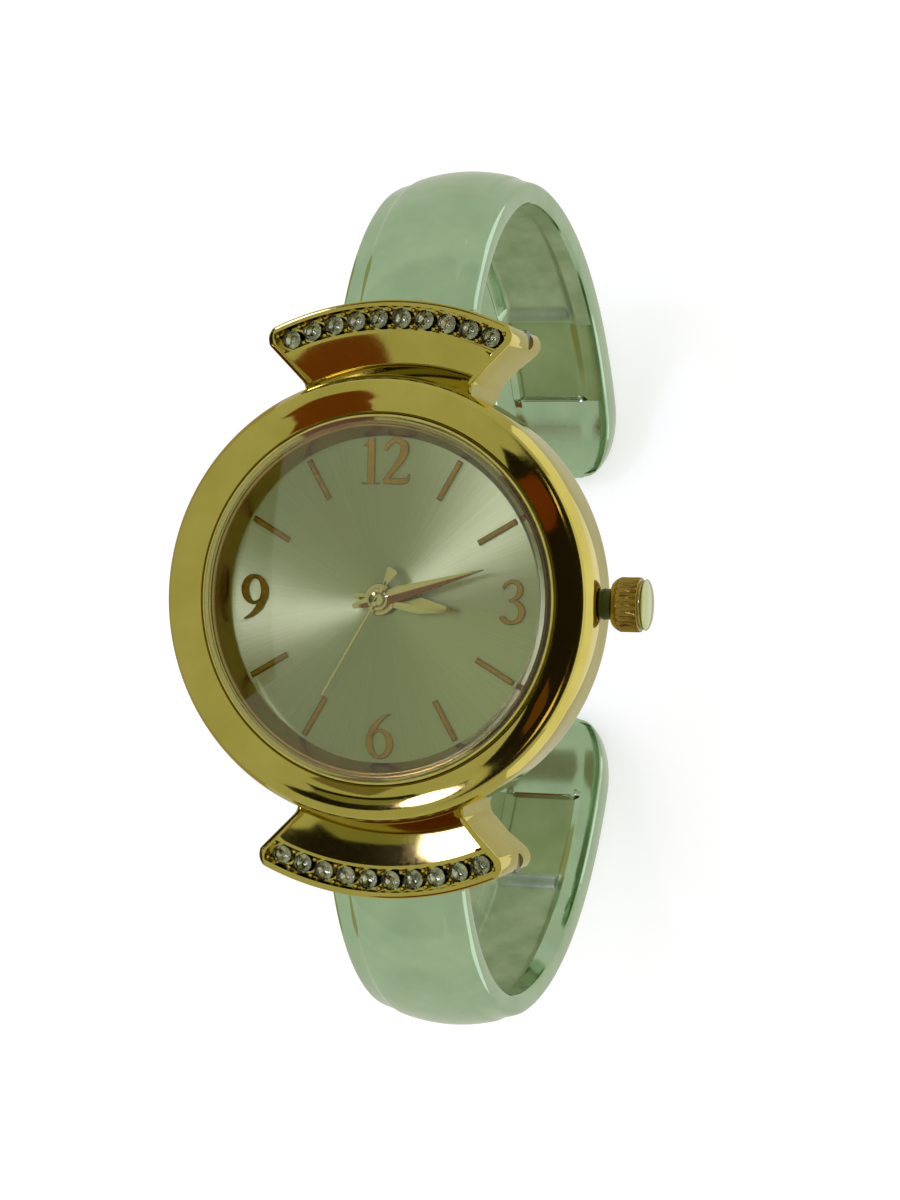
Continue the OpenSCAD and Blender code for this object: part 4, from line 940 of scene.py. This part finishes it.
needle_t = 0.1
needle = bar(0.09, -1.5, 7.99, second_z, second_z + needle_t, 0.03)
paddle_side = [(0.3, -2.52), (0.42, -2.4), (0.12, -1.2)]
paddle = prism([(-x, y) for x, y in paddle_side[::-1]] + paddle_side, second_z, second_z + needle_t)
cap_profile = [(0.0, -0.1), (0.52, -0.1), (0.55, -0.06), (0.55, 0.13), (0.5, 0.19), (0.3, 0.22),
    (0.17, 0.225), (0.15, needle_t), (0.0, needle_t)]
cap = moved(turned(cap_profile, 48, closed=False), z=second_z)
new_piece("second_hand_with_paddle", spun(joined(needle, paddle, cap), second_at), "seconds",
    [bright_gold], ["second_hand"], 20)
print("hands at", hour_at, minute_at, second_at, "degrees clockwise from twelve")

# %% [markdown]
# The watch glass is flat mineral glass with a polished bevel, held by a nylon ring. It must let light through
# to the dial, so shadow rays pass straight through it. Its bevel is a real facet, which draws the dark and
# light rings at the edge of the dial. It stands a hair clear of its ledge, as faces in one plane show dark.

# %% Watch glass
def clear_finish(name, tint, ior, smear, dull, shade):
    """A clear material; smear is the noise that makes it a little dull, shade the tint of what passes it."""
    material, tree, shader = blank(name)
    gloss = range_node(tree, noise_node(tree, *smear), 0.0, dull)
    wire(tree, shader, {"Base Color": (*tint, 1), "Transmission Weight": 1.0, "IOR": ior, "Roughness": gloss})
    clear = add_node(tree, "BsdfTransparent", "BSDF", {"Color": (*shade, 1)})
    in_shadow = add_node(tree, "LightPath", "Is Shadow Ray", {})
    mixed = add_node(tree, "MixShader", "Shader", {"Fac": in_shadow, 1: shader.outputs["BSDF"], 2: clear})
    wire(tree, tree.nodes["Material Output"], {"Surface": mixed})
    return material


smears = (260.0, 5.0, (1, 3, 1))
glass = clear_finish("mineral glass", (0.93, 0.97, 0.93), 1.5, smears, 0.02, (0.9, 0.94, 0.9))
glass_low, glass_top, glass_r = ledge_z + 0.02, 7.7, 12.97
glass_profile = [(0, glass_low), (glass_r - 0.04, glass_low), (glass_r, glass_low + 0.04), (glass_r, 7.33),
    (12.95, 7.37), (12.47, 7.68), (12.42, glass_top), (0, glass_top)]
glass_disc = turned(glass_profile, closed=False)
new_piece("watch_glass", glass_disc, "case", [glass], ["crystal"], 20)
print("glass", round(glass_top - glass_low, 2), "mm thick")

# %% [markdown]
# The stones are small foil-backed brilliants: ten sit in a channel in each lug, held by raised beads of metal
# between them. A cut stone is a stack of rings with different counts of corners, and its sparkle comes from
# flat facets over a mirror, so the shading stays flat and the lower cone gets a foil finish.

# %% Stones and their beads
cut_glass = clear_finish("cut stone", (0.9, 0.94, 0.9), 1.56, (3000.0,), 0.03, (1, 1, 1))
stone_count, stone_step, stone_r = 10, 4.87, 0.72
row_r, girdle_z = 20.2, 4.83
bead_r, bead_z, bead_off = 0.17, 4.86, 0.6


def brilliant(r):
    """A round brilliant with its girdle at height zero: its points, its faces and their finish numbers."""
    rings = [(r*0.6, 0.25, 8, 0.5), (r*0.82, 0.16, 8, 0), (r, 0.03, 16, 0), (r, -0.05, 16, 0)]
    points = [(x, y, z) for wide, z, count, start in rings for x, y in circle(wide, count, start)]
    faces = [tuple(range(8))]
    for i in range(8):
        kite, next_kite, girdle = 8 + i, 8 + (i + 1)%8, 16 + 2*i
        faces += [((i - 1)%8, kite, i), (i, kite, girdle + 1), (i, girdle + 1, next_kite),
            (kite, girdle, girdle + 1), (next_kite, girdle + 1, 16 + (2*i + 2)%16)]
    top = len(faces)
    faces += [(16 + i, 32 + i, 32 + (i + 1)%16, 16 + (i + 1)%16) for i in range(16)]
    faces += [(32 + i, 48, 32 + (i + 1)%16) for i in range(16)]
    return points + [(0, 0, -0.55)], faces, [0]*top + [1]*(len(faces) - top)


def stone_row(name, stands_for, half):
    """The stones of one lug, each with its own small lean; half is 0 at twelve o'clock and 1 at six."""
    *stone, finishes = brilliant(stone_r)
    row = []
    for i in range(stone_count):
        points, faces = spun(stone, 23*i)
        lean_x, lean_y = 0.09*math.sin(2.1*i + half), 0.09*math.cos(3.7*i + half)
        seated = [(x, y + row_r, z + girdle_z + lean_x*x + lean_y*y) for x, y, z in points]
        row.append(spun((seated, faces), stone_step*(i - (stone_count - 1)/2) + 180*half))
    new_piece(name, joined(*row), "case", [cut_glass, foil], [stands_for], 1,
        finishes*stone_count)


stone_row("upper_stone_row", "upper_stones", 0)
stone_row("lower_stone_row", "lower_stones", 1)
bead_profile = arc(0, 0, bead_r, 90, 0, 5) + [(bead_r, -0.3), (0.0, -0.3)]
one_bead = turned(bead_profile, 10, closed=False)
bead_solids = [spun(moved(one_bead, 0, row_r + off, bead_z), stone_step*(i - stone_count/2))
    for i in range(stone_count + 1) for off in (-bead_off, bead_off)]
bead_points, bead_faces = joined(*bead_solids)
print(2*stone_count, "stones and", 4*(stone_count + 1), "beads")

# %% [markdown]
# The turned band and both lugs are one casting, so they are joined into one piece here. The lower lug is the
# upper one turned half round the dial, with its beads.

# %% Case body
case_bore_r, works_bore_r, works_top_z = 13.6, 14.05, 4.6
crown_z, tube_hole_r = 3.0, 1.13
band_profile = [(case_bore_r, seat_z), (15.8, seat_z), (15.88, 6.44), (case_r, 6.36), (case_r, 4.2)]
band_profile += [(case_r, 2.6)] + arc(14.8, 2.0, 1.1, 0, -65, 8)
band_profile += [(works_bore_r, 0.9), (works_bore_r, works_top_z), (case_bore_r, works_top_z)]
case_band = new_piece("case_band", turned(band_profile), "case", [gold], (), 30)
cut(case_band, [along_x(rod(tube_hole_r, 8, 30), 0, crown_z)], 30)

beads = bpy.data.meshes.new("beads")
beads.from_pydata([Vector(p)*mm for p in bead_points], [], bead_faces)
for face in beads.polygons:
    face.use_smooth = True
parts = bmesh.new()
parts.from_mesh(case_band.data)
for half in range(2):
    for mesh in (lug.data, beads):
        parts.from_mesh(mesh)
        mesh.transform(half_round)
case_mesh = bpy.data.meshes.new("case body")
bmesh.ops.recalc_face_normals(parts, faces=parts.faces)
parts.to_mesh(case_mesh)
parts.free()
case_mesh.set_sharp_from_angle(angle=math.radians(30))
case_mesh.materials.append(gold)
as_piece("case_with_lugs", case_mesh, "case", ["case_body"])
for spent in (lug, case_band):
    bpy.data.objects.remove(spent)
print("case faces", len(case_mesh.polygons))

# %% [markdown]
# The crown is turned, then knurled with round flutes for a fingertip. Its rim is one surface whose radius
# dips once per flute, and the dip fades out at both ends of the knurl, as a rolled knurl does. A cut cylinder
# for each flute would give the same outline but leave hard corners where the tool runs out.

# %% Crown
flute_count, per_flute, flute_deep = 24, 8, 0.15
end_faces = 9

# Each place on the outline is a radius, a place along X and the share of the flute's depth there
crown_outline = [(0.0, 19.2, 0), (0.6, 19.185, 0), (1.1, 19.13, 0), (1.45, 19.06, 0), (1.66, 18.98, 0),
    (1.78, 18.9, 0), (1.82, 18.84, 0), (1.8, 18.78, 0), (1.74, 18.74, 0), (1.72, 18.6, 0), (1.74, 18.52, 0),
    (1.86, 18.49, 0), (1.93, 18.44, 0.3), (1.95, 18.36, 1), (1.95, 17.3, 1), (1.95, 17.16, 0.8),
    (1.94, 17.05, 0.3), (1.88, 16.92, 0), (1.76, 16.72, 0), (1.62, 16.55, 0), (1.55, 16.5, 0),
    (1.22, 16.5, 0), (1.22, 17.8, 0), (0.45, 17.8, 0), (0.45, 18.4, 0), (0.0, 18.4, 0)]
crown_points = []
for i in range(flute_count*per_flute):
    a = 2*math.pi*i/(flute_count*per_flute)
    dip = flute_deep*(0.5 + 0.5*math.cos(flute_count*a))**0.7
    crown_points += [(x, (r - dip*share)*math.sin(a), crown_z + (r - dip*share)*math.cos(a))
        for r, x, share in crown_outline]
crown_faces = grid(flute_count*per_flute, len(crown_outline), wrap_rows=True)
side_faces = len(crown_outline) - 1 - end_faces
# The crown is one plated part. Its knurl is painted a darker amber than the case gold, which is painted
# shade, and its end a pale green, which is a painted reflection.
knurl_gold_painted_shade = metal("crown knurl gold, darkened as painted shade", (0.29, 0.195, 0.035), (0.36, 0.25, 0.05), 0.16, 0.28)
end_gold_painted_reflection = metal("crown end gold, tinted pale green as a painted reflection", (0.42, 0.44, 0.2), (0.5, 0.52, 0.26), 0.05, 0.12)
crown = new_piece("fluted_crown", (crown_points, crown_faces), "crown", [end_gold_painted_reflection, knurl_gold_painted_shade],
    ["crown"], 50, ([0]*end_faces + [1]*side_faces)*flute_count*per_flute)
print("crown faces", len(crown.data.polygons))

# %% [markdown]
# The works are seen only with the back off or in a cut view, but each finish is still its own: drawn steel,
# brass wheels, a lacquered coil, a printed board. Each is a base colour that varies, with a roughness and a
# bump of the size that the real process leaves.

# %% Finishes of the inner parts
def plastic(name, dark, light, smooth, dull, scale=2500.0, depth=2e-6):
    """A moulded, lacquered or rubber surface, its colour in broader patches than its grain."""
    material, tree, shader = blank(name)
    fine = noise_node(tree, scale, 6.0)
    vary(tree, (noise_node(tree, scale*0.3), fine, fine), dark, light, smooth, dull, depth)
    return material


olive_nylon = plastic("yellowed nylon of the glass seat", (0.42, 0.35, 0.04), (0.52, 0.44, 0.07), 0.25, 0.4)
white_nylon = plastic("white nylon", (0.62, 0.61, 0.55), (0.74, 0.73, 0.68), 0.35, 0.5)
black_rubber = plastic("black rubber", (0.012, 0.012, 0.012), (0.03, 0.03, 0.03), 0.55, 0.75)
board_green = plastic("green board lacquer", (0.01, 0.1, 0.03), (0.03, 0.2, 0.06), 0.25, 0.4, 5000.0)
black_epoxy = plastic("black epoxy", (0.01, 0.01, 0.012), (0.025, 0.025, 0.03), 0.3, 0.5, 6000.0)
neck_olive = metal("dark olive of the crown's neck", (0.05, 0.06, 0.02), (0.09, 0.11, 0.04), 0.18, 0.3)
dark_steel = metal("oiled spring steel", (0.16, 0.15, 0.14), (0.28, 0.27, 0.25), 0.22, 0.4)


def wave_node(tree, kind, axis, scale, distortion, detail):
    """Stripes across an axis (BANDS) or circles round it (RINGS)."""
    here = add_node(tree, "TexCoord", "Object", {})
    sockets = {"Vector": here, "Scale": scale, "Distortion": distortion, "Detail": detail}
    return add_node(tree, "TexWave", "Fac", sockets, wave_type=kind, bands_direction=axis,
        rings_direction=axis)


# The coil is wound along X, and the case back is turned, so its grain runs in rings round the middle
coil_copper, tree, shader = blank("lacquered copper winding", 1.0)
turns = wave_node(tree, "BANDS", "X", 2600.0, 0.6, 2.0)
vary(tree, [turns]*3, (0.18, 0.05, 0.015), (0.75, 0.32, 0.12), 0.4, 0.22, 20e-6)
turned_steel, tree, shader = blank("turned steel of the back", 1.0)
rings = wave_node(tree, "RINGS", "Z", 900.0, 1.2, 4.0)
vary(tree, [rings]*3, (0.4, 0.41, 0.4), (0.56, 0.57, 0.55), 0.16, 0.34, 1.2e-6)

nodes_of_finish = [
    (turned_steel, ["case_back", "battery"]),
    (black_rubber, ["case_back_gasket", "crown_seal"]),
    (olive_nylon, ["crystal_gasket"]),
    (white_nylon, ["movement_ring"]),
    (neck_olive, ["stem_tube"]),
    (steel, ["stem", "main_plate", "train_bridge", "stator", "setting_lever", "quartz_can", "battery_strap"]),
    (dark_steel, ["bridge_screws", "rotor", "upper_hinge_pin", "lower_hinge_pin", "upper_hinge_spring",
        "lower_hinge_spring"]),
    (wheel_brass, ["second_wheel", "centre_wheel", "third_wheel", "step_wheel", "minute_wheel", "hour_wheel",
        "clutch_wheel"]),
    (coil_copper, ["coil"]),
    (board_green, ["circuit_board"]),
    (black_epoxy, ["chip"])]
for finish, node_names in nodes_of_finish:
    for node_name in node_names:
        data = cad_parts[node_name].data
        data.materials.clear()
        data.materials.append(finish)
print("CAD nodes with a finish:", sum(len(node_names) for finish, node_names in nodes_of_finish))
